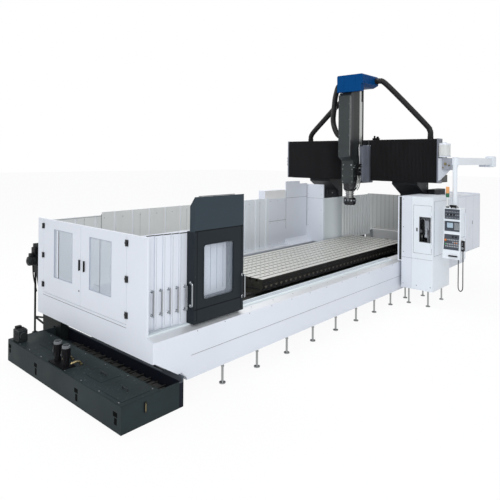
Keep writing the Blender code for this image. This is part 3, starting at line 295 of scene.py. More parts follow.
class Finish:
    """A material being made: a Principled shader, and the nodes that vary it over the surface."""

    def __init__(self, name, color, roughness, metallic=0.0):
        self.material = bpy.data.materials.new(name)
        self.material.use_nodes = True
        self.tree = self.material.node_tree
        self.shader = self.tree.nodes["Principled BSDF"]
        self.shader.inputs["Base Color"].default_value = (*color, 1.0)
        self.shader.inputs["Roughness"].default_value = roughness
        self.shader.inputs["Metallic"].default_value = metallic
        self.base = tuple(color)
        coordinates = self.node("ShaderNodeTexCoord")
        self.place = coordinates.outputs["Object"]
        self.facing = coordinates.outputs["Normal"]

    def shine(self, level):
        self.shader.inputs["Specular IOR Level"].default_value = level

    def node(self, kind, values=None, links=None, **settings):
        made = self.tree.nodes.new(kind)
        for key, value in settings.items():
            setattr(made, key, value)
        for key, value in (values or {}).items():
            made.inputs[key].default_value = value
        for key, socket in (links or {}).items():
            self.tree.links.new(socket, made.inputs[key])
        return made

    def noise(self, scale, detail=3.0, stretch=None):
        """Cloudy noise over the object, drawn out along an axis if a stretch is given."""
        place = self.place
        if stretch:
            place = self.node("ShaderNodeMapping", {"Scale": stretch}, {"Vector": place}).outputs[0]
        return self.node("ShaderNodeTexNoise", {"Scale": scale, "Detail": detail},
                         {"Vector": place}).outputs["Fac"]

    def math(self, operation, first, second=None):
        made = self.node("ShaderNodeMath", operation=operation)
        for index, value in enumerate((first, second)):
            if isinstance(value, (int, float)):
                made.inputs[index].default_value = value
            elif value is not None:
                self.tree.links.new(value, made.inputs[index])
        return made.outputs[0]

    def part_of(self, vector, axis):
        return self.node("ShaderNodeSeparateXYZ", links={0: vector}).outputs[axis]

    def zone(self, axis, low=None, high=None):
        """1 where the place along an axis lies between two values, and 0 elsewhere."""
        spot = self.part_of(self.place, axis)
        above = 1.0 if low is None else self.math("GREATER_THAN", spot, low)
        below = 1.0 if high is None else self.math("LESS_THAN", spot, high)
        return self.math("MULTIPLY", above, below)

    def faces(self, axis, least=0.7):
        """1 on faces that look along an axis, or against it if the least is negative."""
        turned = self.part_of(self.facing, axis)
        return self.math("GREATER_THAN", turned, least) if least > 0 else self.math("LESS_THAN", turned,
                                                                                    least)

    def lines(self, axis, pitch, share):
        """1 on fine lines across an axis, one to each pitch and a share of it wide."""
        spot = self.math("DIVIDE", self.part_of(self.place, axis), pitch)
        return self.math("LESS_THAN", self.math("FRACT", spot), share)

    def mixed(self, socket, factor, color):
        """Whatever reaches a shader socket, changed to a value or colour where the factor is 1."""
        target = self.shader.inputs[socket]
        if socket == "Base Color":
            mix = self.node("ShaderNodeMix", links={0: factor}, data_type="RGBA")
            first, second, out = mix.inputs[6], mix.inputs[7], mix.outputs[2]
            color = (*color, 1.0)
        else:
            mix = self.node("ShaderNodeMix", links={0: factor})
            first, second, out = mix.inputs[2], mix.inputs[3], mix.outputs[0]
        if target.is_linked:
            self.tree.links.new(target.links[0].from_socket, first)
        else:
            first.default_value = target.default_value
        second.default_value = color
        self.tree.links.new(out, target)

    def where(self, factor, color=None, roughness=None, metallic=None):
        """Another finish on the part of the surface where the factor is 1."""
        if color is not None:
            self.mixed("Base Color", factor, color)
        if roughness is not None:
            self.mixed("Roughness", factor, roughness)
        if metallic is not None:
            self.mixed("Metallic", factor, metallic)
        return self

    def clouds(self, amount, scale, stretch=None, dark=0.0):
        """Slow changes of tone over the surface."""
        cloud = self.noise(scale, 4.0, stretch)
        soft = self.node("ShaderNodeMapRange", {"From Min": 0.35, "From Max": 0.70, "To Max": 1.0},
                         {"Value": cloud}).outputs[0]
        tint = tuple(channel * (1.0 - amount) + dark for channel in self.base)
        self.mixed("Base Color", soft, tint)
        return self

    def sheen_changes(self, scale, low, high, stretch=None):
        """Roughness that wanders between two values."""
        cloud = self.noise(scale, 3.0, stretch)
        spread = self.node("ShaderNodeMapRange", {"From Min": 0.3, "From Max": 0.7, "To Min": low,
                                                  "To Max": high}, {"Value": cloud}).outputs[0]
        self.tree.links.new(spread, self.shader.inputs["Roughness"])
        return self

    def bumps(self, scale, depth, strength=0.5, stretch=None):
        """A fine relief, such as the skin of paint, a cast surface or brushing."""
        height = self.noise(scale, 2.0, stretch)
        target = self.shader.inputs["Normal"]
        links = {"Height": height}
        if target.is_linked:
            links["Normal"] = target.links[0].from_socket
        made = self.node("ShaderNodeBump", {"Strength": strength, "Distance": depth}, links)
        self.tree.links.new(made.outputs[0], target)
        return self


FINISHES = {}


def finish(name):
    """A finish that is made once and shared by the pieces that have it."""
    if name not in FINISHES:
        FINISHES[name] = MAKERS.get(name, plain_finish)(name)
    return FINISHES[name]


def material_of(look):
    """The finish of a name, or a material that is already made."""
    return finish(look) if isinstance(look, str) else look


def enamelled(name, color, low=0.30, high=0.42, shine=0.5):
    """Baked enamel on sheet metal, with its faint orange-peel skin."""
    made = Finish(name, color, low)
    made.shine(shine)
    made.clouds(0.045, 0.9)
    made.sheen_changes(1.7, low, high)
    made.bumps(420.0, 0.0004, 0.35)
    made.bumps(2.2, 0.0016, 0.25)
    return made


BLACK = (0.012, 0.012, 0.013)
STEEL = (0.36, 0.37, 0.37)
# Painted light: a brighter, lit copy of the pale enamel, for the console and the tool magazine
LIT_ENAMEL = (0.80, 0.845, 0.90)


# Plain finishes: colour, roughness, metallic, shine, then the clouds and the bumps
PLAIN_FINISHES = {
    "hose_rubber": ((0.010, 0.010, 0.011), 0.42, 0.0, 0.25, (-0.5, 6.0), (260.0, 0.0006, 0.4)),
    "black_moulding": ((0.008, 0.008, 0.009), 0.45, 0.0, 0.12, (-0.4, 20.0), (500.0, 0.0004, 0.5)),
    "gasket": ((0.10, 0.105, 0.11), 0.6, 0.0, 0.5, (0.2, 14.0), (300.0, 0.0005, 0.4)),
    "seam": ((0.20, 0.21, 0.23), 0.6, 0.0, 0.5, (0.3, 8.0), (200.0, 0.0004, 0.3)),
    "pale_seam": ((0.46, 0.49, 0.55), 0.6, 0.0, 0.5, (0.2, 8.0), (200.0, 0.0004, 0.3)),
    "dark_seam": ((0.008, 0.009, 0.010), 0.5, 0.0, 0.5, (-0.5, 8.0), (200.0, 0.0004, 0.3)),
    "pale_gasket": ((0.42, 0.47, 0.56), 0.6, 0.0, 0.5, (0.2, 14.0), (300.0, 0.0005, 0.4)),
    "conveyor_enamel": ((0.010, 0.013, 0.013), 0.45, 0.0, 0.07, (-0.4, 2.0), (60.0, 0.0008, 0.3)),
    "panel_gray": ((0.055, 0.065, 0.085), 0.42, 0.0, 0.5, (0.2, 12.0), (240.0, 0.0003, 0.4)),
    "key_gray": ((0.42, 0.45, 0.48), 0.40, 0.0, 0.5, (0.2, 60.0), (300.0, 0.0003, 0.4)),
    "button_red": ((0.72, 0.20, 0.015), 0.28, 0.0, 0.5, (0.15, 50.0), (200.0, 0.0002, 0.3)),
    "button_green": ((0.02, 0.36, 0.08), 0.28, 0.0, 0.5, (0.15, 50.0), (200.0, 0.0002, 0.3)),
    "brass": ((0.28, 0.235, 0.13), 0.30, 1.0, 0.5, (0.3, 30.0), (200.0, 0.0003, 0.3)),
    "door_seam": ((0.006, 0.007, 0.008), 0.6, 0.0, 0.06, (-0.4, 8.0), (200.0, 0.0003, 0.3)),
    "chain_steel": ((0.012, 0.012, 0.011), 0.5, 0.3, 0.25, (-0.6, 12.0), (120.0, 0.001, 0.4)),
    "worn_steel": ((0.020, 0.017, 0.010), 0.5, 0.2, 0.1, (-0.7, 14.0), (160.0, 0.0006, 0.4)),
    "motor_enamel": ((0.018, 0.021, 0.022), 0.42, 0.0, 0.25, (-0.3, 10.0), (140.0, 0.0006, 0.3)),
    "oily_steel": ((0.165, 0.150, 0.118), 0.45, 0.2, 0.5, (0.4, 20.0), (160.0, 0.0005, 0.3)),
}


def plain_finish(name):
    """A finish of one colour, with slow changes of tone and a fine relief."""
    color, roughness, metallic, shine, clouds, bumps = PLAIN_FINISHES[name]
    made = Finish(name, color, roughness, metallic)
    made.shine(shine)
    made.clouds(*clouds)
    made.bumps(*bumps)
    return made.material


def make_enamel(name):
    return enamelled(name, colors().enamel).material


def make_console_enamel(name):
    # Painted light: the console takes the brighter, lit copy of the pale enamel.
    return enamelled(name, LIT_ENAMEL).material


def make_door_enamel(name):
    """Pale enamel, with the black hinges that stand out from the face."""
    made = enamelled(name, colors().enamel)
    for y in END_HINGES:
        knuckle = made.math("MULTIPLY", made.zone("X", high=END_X - 0.0004),
                            made.zone("Y", y - 0.034, y + 0.034))
        made.where(knuckle, BLACK, 0.45)
    return made.material


def make_cabinet_enamel(name):
    """Enamel with painted light and shade: the brighter, lit enamel over most of the cabinet, painted darker
    beyond y = -1.80, dull black inside the cabinet as painted shade, with steel legs under it.
    """
    low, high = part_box("magazine_cabinet")
    made = enamelled(name, LIT_ENAMEL)
    # Painted shade: the face beyond y = -1.80 is painted darker.
    made.where(made.zone("Y", low=-1.80), colors().enamel)
    # Painted shade: dull black inside the cabinet.
    inside = made.math("MULTIPLY", made.zone("X", MAGAZINE_FACE + 0.003, high[0] - 0.003),
                       made.zone("Y", low[1] + 0.003, high[1] - 0.003))
    made.where(made.math("MULTIPLY", inside, made.zone("Z", 0.333, high[2] - 0.003)), (0.012, 0.013, 0.014),
               0.6)
    made.where(made.zone("Z", high=0.329), STEEL, 0.3, 1.0)
    return made.material


def make_skirt_enamel(name):
    """Pale enamel, with the bare steel of the ledge on top."""
    made = enamelled(name, colors().enamel)
    ledge = made.math("MULTIPLY", made.zone("Z", low=0.8455), made.faces("Z", 0.6))
    made.where(ledge, (0.74, 0.755, 0.78), 0.30, 0.35)
    return made.material


def make_pan_enamel(name):
    """Pale enamel, with the steel levelling legs below."""
    made = enamelled(name, colors().enamel)
    made.where(made.zone("Z", high=0.2535), (0.34, 0.35, 0.35), 0.3, 1.0)
    return made.material


def make_dull_enamel(name):
    """Greyer enamel of the inside. Its grey is partly its own tone and partly painted shade, with darker
    streaks and painted highlights down its folds.
    """
    # Painted shade, in part: the grey of the wall; beyond x = -1.9 it is lighter and bluer.
    made = enamelled(name, (0.71, 0.725, 0.715), 0.35, 0.5)
    made.where(made.zone("X", low=-1.9), (0.74, 0.785, 0.83))
    # Darker vertical streaks down the wall.
    streaks = made.noise(5.0, 5.0, (1.0, 1.0, 0.12))
    darker_streaks = made.node("ShaderNodeMapRange", {"From Min": 0.52, "From Max": 0.78, "To Max": 0.30},
                     {"Value": streaks}).outputs[0]
    made.where(darker_streaks, (0.50, 0.515, 0.50))
    made.where(made.zone("Y", low=1.395), colors().enamel)
    # Painted highlight: the faces of the folds are painted brighter.
    grooves = made.math("MULTIPLY", made.zone("Y", 1.395, 1.41), made.faces("Y", -0.5))
    made.where(grooves, (0.80, 0.80, 0.80))
    return made.material


def make_end_enamel(name):
    """Grey enamel of the far end, its grey painted shade, with painted shade in dark bands down its folded
    ribs and a plain cover before it.
    """
    made = enamelled(name, (0.46, 0.475, 0.47), 0.4, 0.55)
    # Painted shade: dark bands down the folded ribs.
    made.where(made.lines("Y", 0.135, 0.07), (0.16, 0.16, 0.15))
    cover = made.zone("X", high=5.186)
    made.where(cover, (0.52, 0.53, 0.53), 0.45)
    made.where(made.math("MULTIPLY", cover, made.zone("Z", low=0.908)), (0.25, 0.25, 0.25), 0.5)
    return made.material


def make_stainless(name):
    """Brushed stainless sheet with a painted reflection: bright down its middle, darker towards both edges;
    beyond the column it is ribbed and dulled.
    """
    made = Finish(name, (0.90, 0.965, 1.0), 0.30, 0.05)
    made.sheen_changes(2.0, 0.32, 0.40)
    made.bumps(3.0, 0.002, 0.15, (4.0, 4.0, 0.2))
    # Painted reflection: the sheet darkens towards both of its edges.
    along = made.part_of(made.place, "X")
    for start, end in ((2.30, 1.97), (2.45, 2.76)):
        shade = made.node("ShaderNodeMapRange", {"From Min": start, "From Max": end, "To Max": 0.42},
                          {"Value": along}).outputs[0]
        made.where(shade, (0.42, 0.50, 0.53))
    made.where(made.zone("X", low=2.765), (0.80, 0.83, 0.84), 0.45, 0.0)
    return made.material


def make_dark_enamel(name):
    """Dark door enamel, lighter on the hood above the door's leaf."""
    made = enamelled(name, tuple(0.72 * channel for channel in colors().dark_enamel), 0.36, 0.46, 0.12)
    made.where(made.zone("Z", low=2.066), tuple(1.7 * channel for channel in colors().dark_enamel))
    return made.material


def make_casting(name):
    """Filled and painted cast iron."""
    made = Finish(name, colors().casting, 0.42)
    made.shine(0.22)
    made.clouds(0.25, 1.6)
    made.sheen_changes(2.4, 0.36, 0.52)
    made.bumps(38.0, 0.0018, 0.35)
    return made.material


def make_bed_casting(name):
    """Painted bed with ground guideways on it."""
    made = Finish(name, (0.020, 0.021, 0.020), 0.5)
    made.shine(0.25)
    made.clouds(0.3, 2.0)
    made.bumps(30.0, 0.002, 0.4)
    made.where(made.zone("Z", low=0.662), (0.40, 0.39, 0.36), 0.25, 1.0)
    return made.material


def make_ram_paint(name):
    """Ram paint, with painted shade on its operator's side; above the saddle that side carries a bright way
    strip.
    """
    made = Finish(name, colors().ram, 0.36)
    made.shine(0.3)
    made.clouds(0.2, 2.2)
    made.bumps(60.0, 0.0010, 0.3)
    side = made.faces("Y", -0.7)
    # Painted shade: the operator's side of the ram is darker than its front.
    made.where(made.math("MULTIPLY", side, made.zone("X", high=1.615)), (0.014, 0.018, 0.018), 0.4)
    strip = made.math("MULTIPLY", made.zone("X", 1.62, 1.755), made.zone("Z", 2.75))
    made.where(made.math("MULTIPLY", side, strip), (0.50, 0.51, 0.50), 0.30, 0.9)
    made.where(made.zone("X", 1.7605, 1.90), (0.014, 0.015, 0.016), 0.45)
    return made.material


def make_cover_paint(name):
    """Ram cover, with painted shade on its operator's side, which is darker than its front."""
    made = Finish(name, colors().ram, 0.30)
    made.shine(0.3)
    made.clouds(0.15, 2.0)
    made.bumps(300.0, 0.0004, 0.3)
    # Painted shade on the operator's side.
    made.where(made.faces("Y", -0.7), (0.018, 0.020, 0.022))
    return made.material


def make_saddle_paint(name):
    made = Finish(name, colors().saddle, 0.38)
    made.clouds(0.2, 3.0)
    made.bumps(60.0, 0.0012, 0.3)
    return made.material


def make_cap_enamel(name):
    return enamelled(name, colors().cap, 0.42, 0.52, 0.06).material


def make_bellows_cloth(name):
    """Coated cloth, with a woven skin and dust in the folds."""
    made = Finish(name, (0.0055, 0.0055, 0.0065), 0.60)
    made.shine(0.15)
    made.clouds(-0.6, 3.0, (1.0, 1.0, 0.3))
    made.bumps(700.0, 0.0006, 0.5)
    return made.material


def make_chrome(name):
    made = Finish(name, (0.34, 0.36, 0.38), 0.16, 1.0)
    made.sheen_changes(30.0, 0.06, 0.16)
    made.bumps(240.0, 0.0002, 0.15)
    return made.material


def make_steel(name):
    """Plain machined steel of bolts and small fittings."""
    made = Finish(name, STEEL, 0.30, 1.0)
    made.clouds(0.25, 26.0)
    made.sheen_changes(40.0, 0.24, 0.40)
    made.bumps(300.0, 0.0003, 0.3)
    return made.material


def make_dark_steel(name):
    """Blackened steel of the spindle nose and of small fittings."""
    made = Finish(name, (0.030, 0.031, 0.033), 0.30, 0.7)
    made.shine(0.3)
    made.clouds(-0.9, 18.0)
    made.sheen_changes(24.0, 0.22, 0.42)
    made.bumps(200.0, 0.0005, 0.3)
    return made.material


def make_table_iron(name):
    """Table: ground top with a fine lengthwise grain, oily dark iron in the slots and sides."""
    made = Finish(name, (0.022, 0.021, 0.017), 0.45, 0.6)
    made.clouds(-0.5, 3.0)
    made.bumps(90.0, 0.0008, 0.35)
    top = made.math("MULTIPLY", made.zone("Z", low=TABLE_HIGH[2] - 0.002), made.faces("Z", 0.9))
    made.where(made.faces("X", -0.7), (0.050, 0.049, 0.040), 0.5)
    made.where(top, (0.67, 0.665, 0.625), 0.35, 0.35)
    grain = made.node("ShaderNodeMapRange", {"From Min": 0.45, "From Max": 0.70, "To Max": 0.55},
                      {"Value": made.noise(90.0, 2.0, (0.03, 1.0, 1.0))}).outputs[0]
    made.where(made.math("MULTIPLY", grain, top), (0.58, 0.575, 0.53))
    return made.material


def make_spindle_steel(name):
    """Spindle: bright neck above, dark nose below."""
    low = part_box("spindle")[0]
    made = Finish(name, (0.30, 0.30, 0.30), 0.26, 1.0)
    made.clouds(0.3, 20.0)
    made.where(made.zone("Z", high=low[2] + 0.172), (0.035, 0.036, 0.038), 0.30)
    made.bumps(180.0, 0.0004, 0.3)
    return made.material


def make_window(name):
    """Clear polycarbonate with a faint cool tint and wiping marks."""
    made = Finish(name, (0.66, 0.74, 0.86), 0.06)
    made.sheen_changes(9.0, 0.04, 0.16)
    made.bumps(3.0, 0.0006, 0.15)
    made.shader.inputs["Alpha"].default_value = 0.16
    return made.material


def make_end_window(name):
    """Frosted polycarbonate of the end doors."""
    made = Finish(name, (0.68, 0.74, 0.82), 0.12)
    made.sheen_changes(9.0, 0.08, 0.20)
    made.bumps(3.0, 0.0006, 0.15)
    made.shader.inputs["Alpha"].default_value = 0.45
    return made.material


def make_smoked_window(name):
    """Smoked pane of the tool magazine."""
    made = Finish(name, (0.02, 0.022, 0.025), 0.06)
    made.sheen_changes(9.0, 0.04, 0.12)
    made.shader.inputs["Alpha"].default_value = 0.14
    made.shine(0.3)
    return made.material


def make_tank_enamel(name):
    """Tank enamel, splashed and scuffed on top, with black patches of painted shade for the latch recesses
    along its face.
    """
    made = Finish(name, colors().tank, 0.50)
    made.shine(0.07)
    made.clouds(-0.45, 1.5)
    made.sheen_changes(3.0, 0.42, 0.60)
    made.bumps(60.0, 0.0008, 0.3)
    made.where(made.zone("X", low=-4.85), (0.010, 0.012, 0.019))
    rim = made.math("MULTIPLY", made.zone("X", low=-4.85), made.zone("Z", low=0.298))
    made.where(rim, (0.075, 0.085, 0.10))
    face = made.zone("X", high=TANK_LOW[0] + 0.0005)
    # Painted shade: the latch recesses are black patches on the flat face.
    for y, low, high in TANK_LATCHES:
        recess = made.math("MULTIPLY", made.zone("Y", y - 0.042, y + 0.042),
                           made.zone("Z", high - 0.055, high))
        made.where(made.math("MULTIPLY", face, recess), (0.002, 0.002, 0.002), 1.0)
        recess = made.math("MULTIPLY", made.zone("Y", y - 0.035, y + 0.018),
                           made.zone("Z", low, high - 0.065))
        made.where(made.math("MULTIPLY", face, recess), (0.002, 0.002, 0.002), 1.0)
    specks = made.node("ShaderNodeMapRange", {"From Min": 0.66, "From Max": 0.72, "To Max": 0.5},
                       {"Value": made.noise(34.0, 2.0)}).outputs[0]
    made.where(made.math("MULTIPLY", specks, made.faces("Z", 0.7)), (0.12, 0.13, 0.13))
    return made.material


def make_pump_enamel(name):
    """Coolant pumps: black bodies with grey motor caps."""
    made = Finish(name, (0.006, 0.006, 0.007), 0.45)
    made.shine(0.06)
    made.clouds(-0.4, 12.0)
    made.bumps(120.0, 0.0006, 0.3)
    made.where(made.zone("Z", low=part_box("coolant_pumps")[1][2] - 0.035), (0.16, 0.17, 0.18), 0.35)
    return made.material


def make_lamp(name):
    """Signal lamp: black foot, white pole, green and orange lenses."""
    low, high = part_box("signal_lamp")
    made = Finish(name, (0.75, 0.77, 0.78), 0.25)
    made.bumps(60.0, 0.0003, 0.2)
    made.where(made.zone("Z", high=low[2] + 0.03), BLACK, 0.4)
    made.where(made.zone("Z", low=high[2] - 0.209), (0.02, 0.13, 0.06), 0.25)
    made.where(made.zone("Z", low=high[2] - 0.128), (0.80, 0.36, 0.13), 0.25)
    rings = made.math("MULTIPLY", made.lines("Z", 0.011, 0.3), made.zone("Z", low=high[2] - 0.209))
    made.where(rings, roughness=0.5)
    return made.material


def make_screen(name):
    """Lit display: blue field with paler lines of readings."""
    made = Finish(name, (0.36, 0.47, 0.56), 0.2)
    rows = made.math("MULTIPLY", made.lines("Z", 0.016, 0.35), made.zone("Z", 1.0))
    made.where(made.math("MULTIPLY", rows, made.noise(60.0, 1.0)), (0.55, 0.63, 0.72))
    made.shader.inputs["Emission Color"].default_value = (0.35, 0.45, 0.60, 1.0)
    made.shader.inputs["Emission Strength"].default_value = 0.08
    return made.material


def make_translucent_tank(name):
    """Milky plastic of the lubricant reservoir, darker where the oil stands."""
    made = Finish(name, (0.70, 0.71, 0.70), 0.30)
    made.clouds(0.08, 9.0)
    made.bumps(90.0, 0.0004, 0.2)
    made.where(made.zone("Z", high=3.06), tuple(0.85 * channel for channel in colors().enamel), 0.35)
    return made.material


def make_panel_enamel(name):
    """Pale enamel of the sliding panels."""
    return enamelled(name, colors().enamel).material


MAKERS = {
    "enamel": make_enamel,
    "lit_console_enamel": make_console_enamel,
    "door_enamel": make_door_enamel,
    "lit_shaded_cabinet_enamel": make_cabinet_enamel,
    "skirt_enamel": make_skirt_enamel,
    "pan_enamel": make_pan_enamel,
    "dull_enamel": make_dull_enamel,
    "end_enamel": make_end_enamel,
    "stainless": make_stainless,
    "dark_enamel": make_dark_enamel,
    "casting": make_casting,
    "bed_casting": make_bed_casting,
    "ram_paint": make_ram_paint,
    "cover_paint": make_cover_paint,
    "saddle_paint": make_saddle_paint,
    "cap_enamel": make_cap_enamel,
    "bellows_cloth": make_bellows_cloth,
    "chrome": make_chrome,
    "steel": make_steel,
    "dark_steel": make_dark_steel,
    "table_iron": make_table_iron,
    "spindle_steel": make_spindle_steel,
    "window": make_window,
    "end_window": make_end_window,
    "smoked_window": make_smoked_window,
    "tank_enamel": make_tank_enamel,
    "pump_enamel": make_pump_enamel,
    "lamp": make_lamp,
    "screen": make_screen,
    "translucent_tank": make_translucent_tank,
    "panel_enamel": make_panel_enamel,
}


# Shared work of the operators

def dress(look, *nodes):
    """Give CAD nodes a finish, or the finish of that name."""
    material = material_of(look)
    for name in nodes:
        frame["nodes"][name].material_slots[0].material = material


# Stage

CAMERA_PLACE = (-8.70, -6.18, 3.0)
CAMERA_HEADING = math.radians(-47.95)
CAMERA_ROLL = math.radians(0.52)
CAMERA_LENS = 35.59
CAMERA_SHIFT = -0.1824
FLOOR_GLOW = 0.93
WORLD_LEVEL = 0.60
KEY_LEVEL = 1.9
TOP_LEVEL = 1.0


def camera():
    data = bpy.data.cameras.new("camera")
    data.lens = CAMERA_LENS
    data.shift_y = CAMERA_SHIFT
    data.clip_end = 200
    obj = bpy.data.objects.new("camera", data)
    turn = (Matrix.Rotation(CAMERA_HEADING, 4, "Z") @ Matrix.Rotation(math.pi / 2, 4, "X")
            @ Matrix.Rotation(CAMERA_ROLL, 4, "Z"))
    obj.matrix_world = Matrix.Translation(CAMERA_PLACE) @ turn
    bpy.context.scene.collection.objects.link(obj)
    bpy.context.scene.camera = obj


def seen_ray(made):
    """1 for rays that show the surface itself: to the camera, in gloss or through glass."""
    path = made.node("ShaderNodeLightPath")
    seen = made.math("MAXIMUM", path.outputs["Is Camera Ray"], path.outputs["Is Glossy Ray"])
    return made.math("MAXIMUM", seen, path.outputs["Is Transmission Ray"])


def floor():
    """Pale floor that keeps the object's soft shadow and is white elsewhere."""
    form = Form()
    form.loft([[(-90, -90, 0), (90, -90, 0), (90, 90, 0), (-90, 90, 0)]])
    made = Finish("floor", (0.93, 0.93, 0.93), 0.9)
    made.clouds(0.01, 0.4)
    made.bumps(40.0, 0.0005, 0.1)
    made.shine(0.0)
    glow = made.node("ShaderNodeEmission")
    mix = made.node("ShaderNodeMixShader")
    share = made.math("MULTIPLY", seen_ray(made), FLOOR_GLOW)
    output = made.tree.nodes["Material Output"]
    made.tree.links.new(share, mix.inputs[0])
    made.tree.links.new(made.shader.outputs[0], mix.inputs[1])
    made.tree.links.new(glow.outputs[0], mix.inputs[2])
    made.tree.links.new(mix.outputs[0], output.inputs[0])
    obj = form.made("floor", None, made.material)


def world():
    made = bpy.data.worlds.new("studio")
    bpy.context.scene.world = made
    made.use_nodes = True
    tree = made.node_tree
    background = tree.nodes["Background"]
    background.inputs["Color"].default_value = (0.95, 0.975, 1.0, 1.0)
    background.inputs["Strength"].default_value = WORLD_LEVEL
    white = tree.nodes.new("ShaderNodeBackground")
    white.inputs["Color"].default_value = (1.0, 1.0, 1.0, 1.0)
    path = tree.nodes.new("ShaderNodeLightPath")
    either = tree.nodes.new("ShaderNodeMath")
    either.operation = "MAXIMUM"
    through = tree.nodes.new("ShaderNodeMath")
    through.operation = "MAXIMUM"
    mix = tree.nodes.new("ShaderNodeMixShader")
    tree.links.new(path.outputs["Is Camera Ray"], either.inputs[0])
    tree.links.new(path.outputs["Is Glossy Ray"], either.inputs[1])
    tree.links.new(either.outputs[0], through.inputs[0])
    tree.links.new(path.outputs["Is Transmission Ray"], through.inputs[1])
    tree.links.new(through.outputs[0], mix.inputs[0])
    tree.links.new(background.outputs[0], mix.inputs[1])
    tree.links.new(white.outputs[0], mix.inputs[2])
    tree.links.new(mix.outputs[0], tree.nodes["World Output"].inputs[0])


def soft_lamp(name, place, aim, size, level):
    """A large square lamp; the level is its brightness over one square metre at one metre."""
    data = bpy.data.lights.new(name, "AREA")
    data.shape = "SQUARE"
    data.size = size
    data.energy = level * size * size * 10
    obj = bpy.data.objects.new(name, data)
    turn = (Vector(aim) - Vector(place)).to_track_quat("-Z", "Y").to_matrix().to_4x4()
    obj.matrix_world = Matrix.Translation(place) @ turn
    bpy.context.scene.collection.objects.link(obj)


class OBJECT_OT_machine_stage(bpy.types.Operator):
    """Camera, pale floor and soft studio light"""
    bl_idname = "object.machine_stage"
    bl_label = "Stage"
    bl_options = {"REGISTER", "UNDO"}

    def execute(self, context):
        camera()
        floor()
        world()
        soft_lamp("lamp_end", (-13.0, -11.0, 7.0), (-1.0, 0.0, 1.2), 7.0, KEY_LEVEL)
        soft_lamp("lamp_top", (-1.0, 3.0, 12.0), (-0.5, 0.0, 1.0), 9.0, TOP_LEVEL)
        bpy.context.scene.view_settings.view_transform = "Standard"
        return {"FINISHED"}


# Console, its arm and its hanging handwheel

CORD_DIAMETER = 0.018


def cord_route():
    """The handwheel cord's route, as in the part."""
    front, low, bottom = CONSOLE_LOW[0] + 0.06, CONSOLE_LOW[1], CONSOLE_LOW[2]
    x, y, side = front + 0.065, low - 0.026, low + 0.062
    under = bottom + 0.03 * (1 - 0.125 / 0.33) - 0.001
    return [(x, y, 1.225 - 0.0003), (x, y, 1.14), (x, y, 1.05), (x, y, 0.75), (x, y, 0.52),
            (x, y + 0.013, 0.462), (x, y + 0.044, 0.436), (x, side - 0.013, 0.462), (x, side, 0.52),
            (x, side, 0.75), (x, side, 0.95), (x, side, 1.0), (x, side, under)]


class OBJECT_OT_machine_cord(bpy.types.Operator):
    """Handwheel cord, from the handwheel down and back up into the console"""
    bl_idname = "object.machine_cord"
    bl_label = "Handwheel cord"
    bl_options = {"REGISTER", "UNDO"}

    def execute(self, context):
        route = smooth_route(cord_route(), 6)
        form = Form()
        spots = even_route(route, 0.012)
        form.tube(spots, CORD_DIAMETER / 2, 12)
        cord = form.made("handwheel_cord", "console", "hose_rubber", smooth=True)
        reliefs = Form()
        for end in (route[0], route[-1]):
            rings = [(0.0090, 0.0), (0.0090, 0.004), (0.0078, 0.008), (0.0082, 0.010), (0.0074, 0.014),
                     (0.0078, 0.016), (0.0066, 0.030)]
            profile = [(0, 0)] + rings + [(0, 0.030)]
            reliefs.turned(profile, end, (0, 0, -1), 16)
        relief = reliefs.made("cord_reliefs", "console", "black_moulding", smooth=True)
        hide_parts("pendant_cord")
        return {"FINISHED"}


def console_face(form, low, high, depth=0.0, back=0.0):
    """A plate on the console's leaning lower front or its upright upper front.

    The corners are (y, z); the plate stands out by its depth from the face.
    """
    front, top = CONSOLE_LOW[0] + 0.06, CONSOLE_HIGH[2]
    knee, foot = top - 0.52, CONSOLE_LOW[2] + 0.03

    def spot(y, z, out):
        lean = 0.0 if z >= knee else 0.06 * (knee - z) / (knee - foot)
        return (front - lean - out, y, z)
    (y0, z0), (y1, z1) = low, high
    corners = ((y0, z0), (y1, z0), (y1, z1), (y0, z1))
    form.loft([[spot(y, z, -0.004 - back) for y, z in corners], [spot(y, z, depth) for y, z in corners]])


